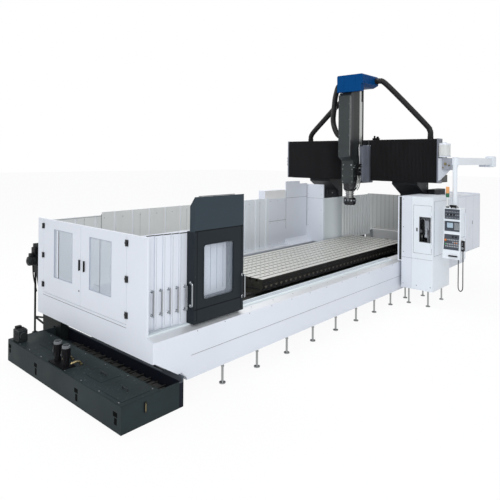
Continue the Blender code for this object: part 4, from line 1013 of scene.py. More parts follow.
class OBJECT_OT_machine_console(bpy.types.Operator):
    """Console panels, keys, screen, lamp, handwheel and the arm's fittings"""
    bl_idname = "object.machine_console"
    bl_label = "Console"
    bl_options = {"REGISTER", "UNDO"}

    def execute(self, context):
        dress("lit_console_enamel", "console_box", "console_arm")
        dress("lamp", "signal_lamp")
        dress("black_moulding", "pendant")
        left, right = -2.472, -2.765
        fields = Form()
        for low, high in ((1.845, 2.045), (1.605, 1.805), (1.245, 1.545)):
            console_face(fields, (right, low), (left, high), 0.002)
        fields.made("console_panels", "console", "panel_gray")
        rims = Form()
        for low, high in ((1.845, 2.045), (1.605, 1.805), (1.245, 1.545)):
            for y0, y1, z0, z1 in ((right - 0.006, left + 0.006, low - 0.006, low),
                                   (right - 0.006, left + 0.006, high, high + 0.006),
                                   (right - 0.006, right, low, high), (left, left + 0.006, low, high)):
                console_face(rims, (y0, z0), (y1, z1), 0.005)
        console_face(rims, (right, 1.825), (left, 1.829), 0.004)
        rims.made("console_rims", "console", "lit_console_enamel")
        glass = Form()
        console_face(glass, (-2.642, 1.672), (-2.520, 1.775), 0.004)
        glass.made("console_screen", "console", "screen")
        bezel = Form()
        for y0, y1, z0, z1 in ((-2.650, -2.512, 1.664, 1.672), (-2.650, -2.512, 1.775, 1.783),
                               (-2.650, -2.642, 1.672, 1.775), (-2.520, -2.512, 1.672, 1.775)):
            console_face(bezel, (y0, z0), (y1, z1), 0.008)
        bezel.made("screen_bezel", "console", "black_moulding")
        keys = Form()
        for row in range(6):
            for column in range(5):
                y, z = -2.755 + column * 0.019, 1.640 + row * 0.023
                console_face(keys, (y, z), (y + 0.014, z + 0.016), 0.007)
        for row in range(3):
            for column in range(9):
                y, z = -2.755 + column * 0.031, 1.865 + row * 0.058
                console_face(keys, (y, z), (y + 0.012, z + 0.014), 0.006)
        for row in range(4):
            for column in range(8):
                y, z = -2.755 + column * 0.033, 1.30 + row * 0.042
                if row != 2 or column < 4:
                    console_face(keys, (y, z), (y + 0.020, z + 0.024), 0.006)
        keys.made("console_keys", "console", "key_gray")
        switches = Form()
        axis = (-1, 0, 0)
        front = CONSOLE_LOW[0] + 0.06
        for y, z, radius in ((-2.60, 1.935, 0.020), (-2.66, 1.935, 0.016), (-2.54, 1.935, 0.016),
                             (-2.70, 1.50, 0.016), (-2.64, 1.50, 0.016)):
            lean = 0.0 if z > 1.54 else 0.06 * (1.54 - z) / 0.47
            switches.disc((front - lean, y, z), axis, radius, 0.014, 16)
            switches.box((front - lean - 0.022, y - 0.004, z - radius * 0.8),
                         (front - lean - 0.008, y + 0.004, z + radius * 0.8), 0.001)
        for low, high in (((-2.700, 2.085), (-2.575, 2.125)), ((-2.745, 1.118), (-2.575, 1.142))):
            lean = 0.0 if low[1] > 1.54 else 0.053
            switches.box((front - lean - 0.03, low[0], low[1]), (front - lean + 0.02, high[0], high[1]),
                         0.006)
        switches.box((front + 0.01, -2.685, CONSOLE_HIGH[2] - 0.001), (front + 0.03, -2.665, 2.10), 0.002)
        switches.box((front + 0.01, -2.605, CONSOLE_HIGH[2] - 0.001), (front + 0.03, -2.585, 2.10), 0.002)
        switches.made("console_switches", "console", "black_moulding", smooth=True)
        stops = Form()
        stops.disc((front - 0.018, -2.503, 1.43), axis, 0.021, 0.030, 20, 0.008)
        stops.disc((front - 0.02, -2.72, 1.385), axis, 0.010, 0.012, 12)
        stops.disc((front - 0.02, -2.68, 1.385), axis, 0.010, 0.012, 12)
        stops.made("stop_buttons", "console", "button_red", smooth=True)
        start = Form()
        start.disc((front - 0.018, -2.503, 1.35), axis, 0.014, 0.016, 16)
        start.made("start_button", "console", "button_green", smooth=True)
        self.box_details(front)
        self.arm_details()
        self.handwheel(front)
        return {"FINISHED"}

    def box_details(self, front):
        back, top, low, high = CONSOLE_HIGH[0], CONSOLE_HIGH[2], CONSOLE_LOW[1], CONSOLE_HIGH[1]
        seams = Form()
        seams.box((back - 0.012, low - PROUD, CONSOLE_LOW[2] + 0.02),
                  (back - 0.008, low + 0.001, top - 0.02))
        seams.box((front + 0.03, low - PROUD, 1.50), (back - 0.03, low + 0.001, 1.504))
        seams.frame("X", back - 0.001, back + PROUD, (low + 0.03, 1.15, high - 0.03, 1.98), 0.003)
        seams.made("console_seams", "console", "seam")
        fittings = Form()
        fittings.disc((1.35, -2.62, top), (0, 0, 1), 0.075, 0.022, 32)
        fittings.disc((1.35, -2.62, top + 0.02), (0, 0, 1), 0.058, 0.020, 32)
        bolts(fittings, [(1.35 + 0.062 * math.cos(a), -2.62 + 0.062 * math.sin(a), top + 0.021)
                         for a in (math.radians(60 * k + 30) for k in range(6))], (0, 0, 1), 0.006)
        for z in (1.25, 1.88):
            fittings.box((back - 0.002, low + 0.06, z), (back + 0.012, low + 0.10, z + 0.03), 0.003)
        fittings.made("console_fittings", "console", "steel", smooth=True)
        rail = Form()
        pull_handle(rail, (front + 0.17, low - 0.0005, 1.48), (front + 0.17, low - 0.0005, 1.95),
                    (0, -0.032, 0), 0.010)
        rail.made("console_rail", "console", "enamel", smooth=True)

    def arm_details(self):
        fittings = Form()
        start, end = Vector((4.05, -2.50, 0)), Vector((1.35, -2.62, 0))
        along = (end - start).normalized()
        side = Vector((-along.y, along.x, 0))
        gusset = [end - along * 0.04, end - along * 0.19]
        rings = []
        for offset in (-0.012, 0.012):
            shift = side * offset
            rings.append([gusset[0] + shift + Vector((0, 0, 2.912)),
                          gusset[1] + shift + Vector((0, 0, 2.912)),
                          gusset[0] + shift + Vector((0, 0, 2.80))])
        fittings.loft(rings)
        fittings.made("arm_gusset", "console_arm", "enamel")
        caps = Form()
        caps.disc((4.05, -2.50, 3.0995), (0, 0, 1), 0.100, 0.012, 32)
        caps.disc((1.35, -2.62, 3.0595), (0, 0, 1), 0.050, 0.010, 24)
        for distance in (0.35, 1.35, 2.35):
            spot = start + along * distance
            for offset in (-0.03, 0.03):
                place = spot + side * offset
                caps.disc((place.x, place.y, 3.0595), (0, 0, 1), 0.007, 0.005, 6)
        caps.made("arm_caps", "console_arm", "enamel", smooth=True)

    def handwheel(self, front):
        low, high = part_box("pendant")
        middle_x = (low[0] + high[0]) / 2
        form = Form()
        form.disc((low[0], (low[1] + high[1]) / 2, low[2] + 0.065), (-1, 0, 0), 0.024, 0.012, 24)
        form.disc((low[0] - 0.010, (low[1] + high[1]) / 2, low[2] + 0.065), (-1, 0, 0), 0.018, 0.008, 24)
        form.disc((low[0] - 0.016, (low[1] + high[1]) / 2 - 0.010, low[2] + 0.073), (-1, 0, 0), 0.004,
                  0.014, 10)
        for z in (0.130, 0.165):
            form.disc((low[0], (low[1] + high[1]) / 2, low[2] + z), (-1, 0, 0), 0.011, 0.012, 12)
        form.made("handwheel_dial", "console", "chrome", smooth=True)
        grip = Form()
        for k in range(7):
            z = low[2] + 0.02 + k * 0.024
            grip.box((high[0] - 0.004, low[1] + 0.004, z), (high[0] + 0.003, high[1] - 0.004, z + 0.010),
                     0.001)
        grip.box((middle_x - 0.012, high[1] - 0.004, high[2] - 0.03),
                 (middle_x + 0.012, high[1], high[2] + 0.012),
                 0.001)
        grip.made("handwheel_grip", "console", "black_moulding")


# Castings

class OBJECT_OT_machine_castings(bpy.types.Operator):
    """Bed, columns, crossbeam with its covers, and the things bolted to them"""
    bl_idname = "object.machine_castings"
    bl_label = "Castings"
    bl_options = {"REGISTER", "UNDO"}

    def execute(self, context):
        dress("bed_casting", "bed")
        dress("casting", "column_far", "column_near", "crossbeam")
        dress("saddle_paint", "beam_cover_near", "beam_cover_far")
        dress(self.bracket_finish(), "arm_bracket")
        self.head_ribs()
        self.beam_details()
        self.lubrication()
        self.bed_details()
        return {"FINISHED"}

    def bracket_finish(self):
        made = enamelled("bracket_enamel", colors().enamel)
        made.where(made.zone("Y", low=-1.901), BLACK, 0.45)
        return made.material

    def head_ribs(self):
        ribs = Form()
        for side in (-1, 1):
            for y in (0.93, 1.181, 1.279, 1.401):
                outline = [(2.651, 1.90), (2.630, 1.95), (2.628, 2.193), (2.205, 2.437), (2.195, 2.437),
                           (2.195, 2.480), (2.651, 2.480)]
                low, high = sorted((side * y, side * (y + 0.025)))
                ribs.prism(outline, "Y", low, high)
            low, high = sorted((side * 0.90, side * 1.45))
            ribs.box((2.625, low, 2.02), (2.652, high, 2.05), 0.004)
        ribs.made("column_ribs", "root", "casting")
        heads = Form()
        places = [(2.6495, side * y, z) for side in (-1, 1) for y in (1.06, 1.34) for z in (1.99, 2.11)]
        bolts(heads, places, (-1, 0, 0), 0.014, 0.010)
        places = [(x, side * 1.4795, z) for side in (-1, 1) for x in (2.71, 2.79)
                  for z in (2.10, 2.25, 2.40)]
        for place in places:
            heads.disc(place, (0, math.copysign(1, place[1]), 0), 0.014, 0.010, 6)
        heads.made("column_bolts", "root", "steel")
        slab = Form()
        slab.box((2.75, -1.66, 2.1895), (3.42, -1.485, 2.32), 0.008)
        for k in range(8):
            slab.box((2.79 + k * 0.075, -1.664, 2.215), (2.83 + k * 0.075, -1.658, 2.295))
        slab.made("cabinet_vent", "root", "casting")

    def beam_details(self):
        low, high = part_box("crossbeam")
        rails = Form()
        for z in (low[2] + 0.16, high[2] - 0.16):
            rails.box((low[0] - 0.0008, low[1] + 0.002, z - 0.03),
                      (low[0] + 0.01, high[1] - 0.002, z + 0.03))
        rails.made("beam_ways", "root", "steel")
        knobs = Form()
        knobs.box((2.09, -0.56, high[2] - 0.0005), (2.17, -0.40, high[2] + 0.045), 0.012)
        knobs.disc((2.13, -0.52, high[2] + 0.04), (0, 0, 1), 0.030, 0.040, 16, 0.010)
        knobs.disc((2.13, -0.44, high[2] + 0.04), (0, 0, 1), 0.022, 0.060, 16, 0.008)
        for z in (2.86, 2.94, 3.02):
            knobs.disc((2.00, 2.044, z), (0, 1, 0), 0.026, 0.045, 16, 0.008)
        knobs.made("beam_knobs", "root", "black_moulding", smooth=True)
        caps = Form()
        for side in (-1, 1):
            y = side * 2.0455
            for x in (1.975, 2.17):
                for z in (2.56, 2.85, 3.15, 3.43):
                    caps.disc((x, y, z), (0, side, 0), 0.011, 0.006, 6)
        for x in (2.35, 2.75, 3.15):
            for y in (-1.2, 0.0, 1.2):
                caps.disc((x, y, high[2] - 0.001), (0, 0, 1), 0.022, 0.010, 6)
        caps.made("beam_bolts", "root", "steel")
        panels = Form()
        for y0, y1 in ((-1.50, -0.60), (-0.45, 0.45), (0.60, 1.50)):
            panels.frame("X", high[0] - 0.001, high[0] + 0.006, (y0, low[2] + 0.14, y1, high[2] - 0.14),
                         0.03)
        for y0, y1 in ((-1.45, -0.55), (-0.45, 0.45), (0.55, 1.45)):
            panels.frame("Z", high[2] - 0.001, high[2] + 0.006, (2.42, y0, 3.06, y1), 0.025)
        panels.made("beam_panels", "root", "casting")
        cleat = Form()
        for z in (2.56, 3.42):
            cleat.box((1.951, -2.0465, z), (2.19, -2.0445, z + 0.012))
        cleat.made("cover_folds", "root", "dark_seam")

    def lubrication(self):
        dress("translucent_tank", "lubrication_unit")
        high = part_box("lubrication_unit")[1]
        x, y = 1.976, -2.1753
        box_finish = enamelled("pump_box_enamel", (0.34, 0.36, 0.41)).material
        form = Form()
        form.box((x - 0.0625, y - 0.1625, 2.7985), (x + 0.0625, y + 0.0325, 3.0565), 0.006)
        form.made("lubrication_housing", "root", box_finish)
        fittings = Form()
        fittings.disc((x, y, high[2] - 0.001), (0, 0, 1), 0.050, 0.022, 24)
        fittings.disc((x, y, high[2] + 0.018), (0, 0, 1), 0.030, 0.016, 20)
        fittings.turned([(0, 3.078), (0.121, 3.078), (0.121, 3.098), (0.10, 3.098), (0, 3.098)], (x, y, 0))
        fittings.turned([(0, 3.335), (0.1205, 3.335), (0.1205, 3.350), (0.11, 3.366), (0, 3.366)], (x, y, 0))
        fittings.made("lubrication_caps", "root", "enamel", smooth=True)
        gauges = Form()
        gauges.disc((x - 0.062, y - 0.04, 2.93), (-1, 0, 0), 0.030, 0.020, 24)
        gauges.disc((x - 0.062, y - 0.12, 2.90), (-1, 0, 0), 0.016, 0.030, 16)
        gauges.disc((x - 0.062, y + 0.01, 2.85), (-1, 0, 0), 0.014, 0.020, 12)
        gauges.made("lubrication_gauges", "root", "brass", smooth=True)
        pipes = Form()
        for k in range(3):
            start = Vector((x + 0.02 + 0.012 * k, y - 0.02, 2.80))
            route = [start, start + Vector((0, 0, -0.05)), start + Vector((0.05, 0.06, -0.12)),
                     (2.15 + 0.012 * k, -2.052, 2.62), (2.18, -2.052, 2.56 - 0.01 * k)]
            pipes.tube(smooth_route(route, 6), 0.0045, 8)
        pipes.made("lubrication_pipes", "root", "steel", smooth=True)

    def bed_details(self):
        low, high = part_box("bed")
        rails = Form()
        for side in (-1, 1):
            y = side * 0.48
            x = low[0] + 0.15
            while x < high[0] - 0.1:
                rails.disc((x, y - 0.03, high[2] - 0.0005), (0, 0, 1), 0.011, 0.002, 10)
                rails.disc((x, y + 0.03, high[2] - 0.0005), (0, 0, 1), 0.011, 0.002, 10)
                x += 0.24
        rails.made("bed_rail_bolts", "root", "dark_steel")
        conduit = Form()
        conduit.tube(smooth_route([(low[0] + 0.3, -0.70, 0.46), (0.0, -0.70, 0.46),
                                   (high[0] - 0.3, -0.70, 0.46)],
                                  8), 0.022, 12)
        x = low[0] + 0.5
        while x < high[0] - 0.4:
            conduit.box((x, -0.73, 0.43), (x + 0.03, -0.6505, 0.49), 0.003)
            x += 0.9
        conduit.made("bed_conduit", "root", "casting", smooth=True)


# Table

class OBJECT_OT_machine_table(bpy.types.Operator):
    """Table with its clamping holes drawn as dark discs of painted shade, slot edges and side scale"""
    bl_idname = "object.machine_table"
    bl_label = "Table"
    bl_options = {"REGISTER", "UNDO"}

    def execute(self, context):
        dress("table_iron", "table")
        low, high = TABLE_LOW, TABLE_HIGH
        pitch, radius = sizes().hole_pitch, sizes().hole_radius
        slot_pitch = 0.16
        holes, rims = Form(), Form()
        count = int((high[0] - low[0] - 0.2) / pitch)
        first = (high[0] + low[0] - (count - 1) * pitch) / 2
        for row in range(8):
            y = -0.56 + row * slot_pitch
            for k in range(count):
                x = first + (k + 0.5 * (row % 2)) * pitch
                if x > high[0] - 0.05:
                    continue
                # Painted shade: each clamping hole is a flat dark disc on the top.
                holes.loft([[(x + r * math.cos(a), y + r * math.sin(a), z)
                             for a in (math.pi * s / 4 for s in range(8))]
                            for r, z in ((radius, high[2] - 0.001), (radius, high[2] + 0.0006))])
        holes.made("table_hole_shades", "table", "dark_seam")
        for k in range(9):
            y = -0.64 + k * slot_pitch
            for x in (low[0], high[0] - 0.012):
                rims.box((x - 0.0008, y - 0.045, high[2] - 0.075),
                         (x + 0.0128, y - 0.035, high[2] - 0.06))
        for side in (-1, 1):
            y = side * high[1] if side > 0 else low[1]
            x = low[0] + 0.06
            while x < high[0] - 0.06:
                span = sorted((y - side * 0.001, y + side * 0.005))
                rims.prism([(x, 0.842), (x + 0.070, 0.842), (x + 0.048, 0.806), (x + 0.022, 0.806)], "Y",
                           *span)
                x += 0.14
        rims.made("table_side_marks", "table", "oily_steel")
        edges = Form()
        for side, y in ((-1, low[1]), (1, high[1])):
            span = sorted((y - side * 0.002, y + side * 0.006))
            edges.box((low[0] + 0.01, span[0], 0.885), (high[0] - 0.01, span[1], 0.897))
            edges.box((low[0] + 0.01, span[0], 0.785), (high[0] - 0.01, span[1], 0.800))
        edges.made("table_side_trim", "table", "dark_steel")
        ends = Form()
        for x, side in ((low[0], -1), (high[0], 1)):
            for y in (-0.55, -0.25, 0.25, 0.55):
                ends.disc((x, y, 0.84), (side, 0, 0), 0.020, 0.010, 6)
            span = sorted((x - side * 0.002, x + side * 0.012))
            ends.box((span[0], -0.70, 0.775), (span[1], 0.70, 0.800))
        ends.made("table_end_trim", "table", "dark_steel")
        return {"FINISHED"}


# Bellows, saddle and hoses

class OBJECT_OT_machine_bellows(bpy.types.Operator):
    """Pleated bellows beside the saddle"""
    bl_idname = "object.machine_bellows"
    bl_label = "Bellows"
    bl_options = {"REGISTER", "UNDO"}

    def execute(self, context):
        for name, fixed in (("bellows_far", 1), ("bellows_near", -1)):
            low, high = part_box(name)
            count = 2 * round((high[1] - low[1]) / sizes().pleat_pitch)
            depth, chamfer = sizes().pleat_depth, 0.05
            rings = []
            for step in range(count + 1):
                y = low[1] + (high[1] - low[1]) * step / count
                inset = depth if step % 2 else 0.0005
                front, bottom, top = low[0] + inset, low[2] + inset, high[2] - inset
                rings.append([(front, y, bottom), (high[0], y, bottom), (high[0], y, top),
                              (front + chamfer, y, top), (front, y, top - chamfer)])
            form = Form()
            form.loft(rings)
            obj = form.made(name + "_pleats", None, "bellows_cloth")
            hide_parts(name)
            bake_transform(obj)
        return {"FINISHED"}


def corrugated(form, route, radius, pitch):
    """A ribbed hose along a route."""
    spots = even_route(route, pitch / 2)
    radii = [radius if index % 2 else radius - 0.006 for index in range(len(spots))]
    form.tube(spots, radii, 14)


def hose_end(form, place, axis, radius):
    """A screwed gland at a hose's end, standing on the face that it enters."""
    form.turned([(0, 0), (radius, 0), (radius, 0.012), (radius * 0.93, 0.014), (radius * 0.93, 0.040),
                 (radius * 0.98, 0.044), (radius * 0.98, 0.060), (0, 0.060)], place, axis, 8)


class OBJECT_OT_machine_hoses(bpy.types.Operator):
    """Corrugated hoses of the ram and of the crossbeam"""
    bl_idname = "object.machine_hoses"
    bl_label = "Hoses"
    bl_options = {"REGISTER", "UNDO"}

    def execute(self, context):
        radius, pitch = sizes().hose_radius, sizes().hose_rib
        ram_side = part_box("ram")[1][1] + 0.0003
        cap_left, cap_right = 0.0003, -0.6603
        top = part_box("crossbeam")[1][2] + 0.0003
        x = 1.48
        route = [(x, cap_left, 4.80), (x, cap_left + 0.04, 4.80), (x, cap_left + 0.08, 4.80),
                 (x, 0.18, 4.73),
                 (x, 0.235, 4.58), (x, 0.269, 4.43), (x, 0.294, 4.19), (x, 0.315, 3.95), (x, 0.27, 3.75),
                 (x, 0.17, 3.585), (x, ram_side + 0.08, 3.55), (x, ram_side + 0.04, 3.55),
                 (x, ram_side, 3.55)]
        form = Form()
        corrugated(form, smooth_route(route), radius, pitch)
        hose = form.made("ram_hose", "ram", "hose_rubber", smooth=True)
        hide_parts("hose_ram")
        x = 1.60
        far = [(x, ram_side, 4.40), (x, ram_side + 0.04, 4.40), (x, ram_side + 0.08, 4.40),
               (1.66, 0.28, 4.34), (1.95, 0.92, 3.97), (2.13, 1.33, 3.72), (2.20, 1.455, 3.62),
               (2.22, 1.48, 3.56), (2.22, 1.48, 3.52), (2.22, 1.48, top)]
        x = 1.76
        near = [(x, cap_right, 4.82), (x, cap_right - 0.04, 4.82), (x, cap_right - 0.08, 4.82),
                (1.85, -0.90, 4.72), (2.24, -1.62, 3.84), (2.29, -1.72, 3.68), (2.30, -1.733, 3.60),
                (2.30, -1.733, 3.55), (2.30, -1.733, top)]
        for name, route in (("far", far), ("near", near)):
            spots = smooth_route(route, 8)
            half = len(spots) // 2
            upper, lower = Form(), Form()
            corrugated(upper, spots[:half + 1], radius, pitch)
            corrugated(lower, spots[half:], radius, pitch)
            first = upper.made("hose_%s_upper" % name, None, "hose_rubber", smooth=True)
            second = lower.made("hose_%s_lower" % name, None, "hose_rubber", smooth=True)
            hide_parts("hose_" + name)
            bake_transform(first)
            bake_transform(second)
        glands = Form()
        hose_end(glands, (1.48, cap_left, 4.80), (0, 1, 0), radius + 0.006)
        hose_end(glands, (1.48, ram_side, 3.55), (0, 1, 0), radius + 0.006)
        hose_end(glands, far[0], (0, 1, 0), radius + 0.006)
        hose_end(glands, near[0], (0, -1, 0), radius + 0.006)
        glands.made("ram_hose_glands", "ram", "black_moulding")
        glands = Form()
        hose_end(glands, far[-1], (0, 0, 1), radius + 0.006)
        hose_end(glands, near[-1], (0, 0, 1), radius + 0.006)
        glands.made("beam_hose_glands", "root", "black_moulding")
        return {"FINISHED"}


CHEEK_FRONT = 1.60


class OBJECT_OT_machine_saddle(bpy.types.Operator):
    """Saddle with its dark side strips of painted shade, cheeks, bolts, wipers and lubricator"""
    bl_idname = "object.machine_saddle"
    bl_label = "Saddle"
    bl_options = {"REGISTER", "UNDO"}

    def execute(self, context):
        dress("saddle_paint", "saddle")
        low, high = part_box("saddle")
        ram_low, ram_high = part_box("ram")
        # Painted shade: dark strips down the saddle's sides.
        trim = Form()
        for y, side in ((low[1], -1), (high[1], 1)):
            span = sorted((y - side * 0.001, y + side * 0.004))
            trim.box((1.915, span[0], low[2] + 0.02), (1.935, span[1], high[2] - 0.02), 0.001)
            trim.box((1.952, span[0], low[2] + 0.02), (1.962, span[1], high[2] - 0.02), 0.001)
        trim.made("saddle_side_shade_strips", "saddle", "dark_seam")
        cheeks = Form()
        cheeks.box((CHEEK_FRONT, low[1], low[2]), (low[0] - 0.0005, ram_low[1] - 0.0035, high[2]), 0.004)
        cheeks.box((1.70, ram_high[1] + 0.0035, low[2]), (low[0] - 0.0005, high[1], high[2]), 0.004)
        cheeks.made("saddle_cheeks", "saddle", "saddle_paint")
        details = Form()
        for x, y in ((CHEEK_FRONT, low[1] + 0.030), (1.70, high[1] - 0.035)):
            for k in range(6):
                details.disc((x, y, low[2] + 0.06 + k * 0.15), (-1, 0, 0), 0.009, 0.006, 6)
        for x in (1.90, 2.02):
            for y in (low[1] + 0.04, high[1] - 0.04):
                details.disc((x, y, high[2] - 0.0005), (0, 0, 1), 0.012, 0.010, 6)
        details.made("saddle_bolts", "saddle", "steel")
        wiper = Form()
        for front, y0, y1 in ((CHEEK_FRONT, low[1] + 0.004, -0.328), (1.70, -0.002, high[1] - 0.004)):
            wiper.box((front - 0.008, y0, low[2] + 0.005), (front + 0.004, y1, low[2] + 0.035), 0.003)
            wiper.box((front - 0.008, y0, high[2] - 0.030), (front + 0.004, y1, high[2] - 0.005), 0.003)
        wiper.made("saddle_wipers", "saddle", "black_moulding")
        shaft = Form()
        shaft.tube([(1.965, -0.375, high[2] - 0.01), (1.965, -0.375, high[2] + 0.09)], 0.016, 14)
        shaft.disc((1.965, -0.375, high[2] + 0.08), (0, 0, 1), 0.024, 0.05, 16)
        shaft.made("saddle_lubricator", "saddle", "dark_steel", smooth=True)
        return {"FINISHED"}


class OBJECT_OT_machine_ram(bpy.types.Operator):
    """Ram, its cover and cap, the spindle nose and the coolant nozzles"""
    bl_idname = "object.machine_ram"
    bl_label = "Ram and spindle"
    bl_options = {"REGISTER", "UNDO"}

    def execute(self, context):
        dress("ram_paint", "ram")
        dress("cover_paint", "ram_cover")
        dress("cap_enamel", "ram_cap")
        dress("dark_steel", "spindle_housing")
        dress("spindle_steel", "spindle")
        low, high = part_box("ram_cover")
        strip = Form()
        strip.box((low[0] - 0.002, low[1] + 0.004, low[2] + 0.12),
                  (low[0] + 0.010, low[1] + 0.014, high[2] - 0.09))
        strip.box((low[0] + 0.02, low[1] - PROUD, low[2] + 0.10),
                  (low[0] + 0.030, low[1] + 0.001, high[2] - 0.10))
        strip.made("cover_edge_strip", "ram", "steel")
        seams = Form()
        for z in (3.30, 3.86):
            seams.box((low[0] - PROUD, low[1] + 0.02, z), (low[0] + 0.002, high[1] - 0.004, z + 0.003))
        seams.made("cover_seams", "ram", "dark_seam")
        heads = Form()
        for z in (3.14, 3.50, 3.86, 4.22):
            for y in (low[1] + 0.035, high[1] - 0.02):
                heads.disc((low[0] + 0.0005, y, z + 0.06), (-1, 0, 0), 0.007, 0.004, 6)
        bolts(heads, [(x, -0.3195, z) for x in (1.42, 1.56) for z in (2.48, 2.615)], (0, -1, 0), 0.010,
              0.008)
        bolts(heads, [(1.3505, y, z) for y in (-0.29, -0.04) for z in (2.49, 2.62, 2.78)], (-1, 0, 0),
              0.010, 0.007)
        heads.made("ram_bolts", "ram", "steel")
        self.cap_details()
        self.nose()
        self.coolant()
        return {"FINISHED"}

    def cap_details(self):
        low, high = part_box("ram_cap")
        seams = Form()
        seams.box((low[0] - PROUD, low[1] + 0.18, low[2] + 0.14),
                  (low[0] + 0.002, low[1] + 0.184, high[2] - 0.03))
        seams.box((low[0] - PROUD, high[1] - 0.184, low[2] + 0.02),
                  (low[0] + 0.002, high[1] - 0.18, high[2] - 0.03))
        seams.box((low[0] + 0.30, low[1] - PROUD, high[2] - 0.20),
                  (low[0] + 0.304, low[1] + 0.002, high[2] - 0.03))
        seams.made("cap_seams", "ram", enamelled("cap_shadow", (0.0, 0.03, 0.11), 0.5, 0.6, 0.06).material)
        heads = Form()
        for y in (-0.62, -0.33, -0.04):
            for z in (4.70, 4.90):
                heads.disc((low[0] + 0.0005, y, z), (-1, 0, 0), 0.008, 0.004, 6)
        for x in (1.25, 1.50, 1.75):
            heads.disc((x, low[1] + 0.0005, 4.87), (0, -1, 0), 0.008, 0.004, 6)
        heads.made("cap_screws", "ram", "cap_enamel")

    def nose(self):
        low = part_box("spindle")[0]
        centre = (1.47, -0.165)
        ring = Form()
        ring.turned([(0.10, low[2]), (0.118, low[2]), (0.143, low[2] + 0.042),
                     (0.143, low[2] + 0.065),
                     (0.136, low[2] + 0.068), (0.136, low[2] + 0.080), (0.143, low[2] + 0.083),
                     (0.143, low[2] + 0.128), (0.124, low[2] + 0.150), (0.10, low[2] + 0.150)],
                    (*centre, 0), sides=40)
        ring.made("spindle_nose_ring", "spindle", "dark_steel", smooth=True)
        steps = Form()
        for z, radius in ((0.162, 0.103), (0.205, 0.096), (0.250, 0.100), (0.292, 0.106)):
            steps.turned([(0, low[2] + z), (radius, low[2] + z), (radius, low[2] + z + 0.018),
                          (0, low[2] + z + 0.018)], (*centre, 0), sides=40)
        steps.made("spindle_neck_rings", "spindle", "steel", smooth=True)
        keys = Form()
        for k in range(8):
            a = math.radians(45 * k)
            spot = (centre[0] + 0.105 * math.cos(a), centre[1] + 0.105 * math.sin(a), low[2] + 0.004)
            keys.disc(spot, (0, 0, -1), 0.012, 0.012, 12)
        for k in range(12):
            a = math.radians(30 * k + 15)
            out = (math.cos(a), math.sin(a), 0)
            spot = (centre[0] + 0.1415 * out[0], centre[1] + 0.1415 * out[1], low[2] + 0.105)
            keys.disc(spot, out, 0.020, 0.010, 14)
        keys.turned([(0, low[2] - 0.012), (0.045, low[2] - 0.012), (0.045, low[2] + 0.005),
                     (0, low[2] + 0.005)],
                    (*centre, 0))
        keys.made("spindle_nozzles", "spindle", "chrome", smooth=True)
        flange = Form()
        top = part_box("spindle_housing")[1][2]
        flange.turned([(0, top - 0.030), (0.158, top - 0.030), (0.158, top - 0.004), (0, top - 0.004)],
                      (*centre, 0), sides=40)
        for k in range(12):
            a = math.radians(30 * k)
            flange.disc((centre[0] + 0.145 * math.cos(a), centre[1] + 0.145 * math.sin(a), top - 0.029),
                        (0, 0, -1), 0.008, 0.008, 6)
        flange.made("housing_flange", "ram", "dark_steel")

    def coolant(self):
        """Pipes, a valve block and clamps low on the ram's operator side."""
        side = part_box("ram")[0][1]
        block = Form()
        block.box((1.46, side - 0.075, 2.640), (1.585, side - 0.0005, 2.790), 0.006)
        block.box((1.40, side - 0.040, 2.535), (1.585, side - 0.0005, 2.600), 0.004)
        block.box((1.52, side - 0.090, 2.830), (1.58, side - 0.0005, 2.905), 0.004)
        block.made("coolant_block", "ram", "black_moulding")
        pipes = Form()
        for x, drop in ((1.44, 0.0), (1.50, 0.02), (1.56, 0.04)):
            route = [(x + 0.06, side - 0.030, 2.70), (x + 0.02, side - 0.050, 2.58),
                     (x, side - 0.050, 2.48 - drop),
                     (x - 0.01, side - 0.035, 2.40 - drop), (x - 0.015, side + 0.010, 2.33 - drop)]
            pipes.tube(smooth_route(route, 6), 0.010, 10)
        pipes.tube(smooth_route([(1.56, side - 0.03, 2.78), (1.56, side - 0.04, 2.95),
                                 (1.575, side - 0.03, 3.15),
                                 (1.58, side - 0.02, 3.36)], 8), 0.013, 10)
        pipes.tube(smooth_route([(1.54, side - 0.05, 2.90), (1.54, side - 0.05, 3.02),
                                 (1.55, side - 0.03, 3.18),
                                 (1.555, side - 0.02, 3.30)], 8), 0.009, 10)
        pipes.made("coolant_pipes", "ram", "steel", smooth=True)
        fittings = Form()
        for x, z in ((1.485, 2.72), (1.522, 2.72), (1.56, 2.72), (1.55, 2.865)):
            fittings.disc((x, side - 0.074, z), (0, -1, 0), 0.012, 0.024, 6)
        for x, z in ((1.395, 2.86), (1.37, 2.82)):
            fittings.disc((x, side - 0.0005, z), (0, -1, 0), 0.014, 0.020, 12)
        fittings.disc((1.3505, -0.27, 2.88), (-1, 0, 0), 0.018, 0.012, 16)
        fittings.disc((1.3505, -0.06, 2.88), (-1, 0, 0), 0.012, 0.012, 16)
        fittings.made("coolant_fittings", "ram", "chrome", smooth=True)


# Enclosure walls, guards and skirts

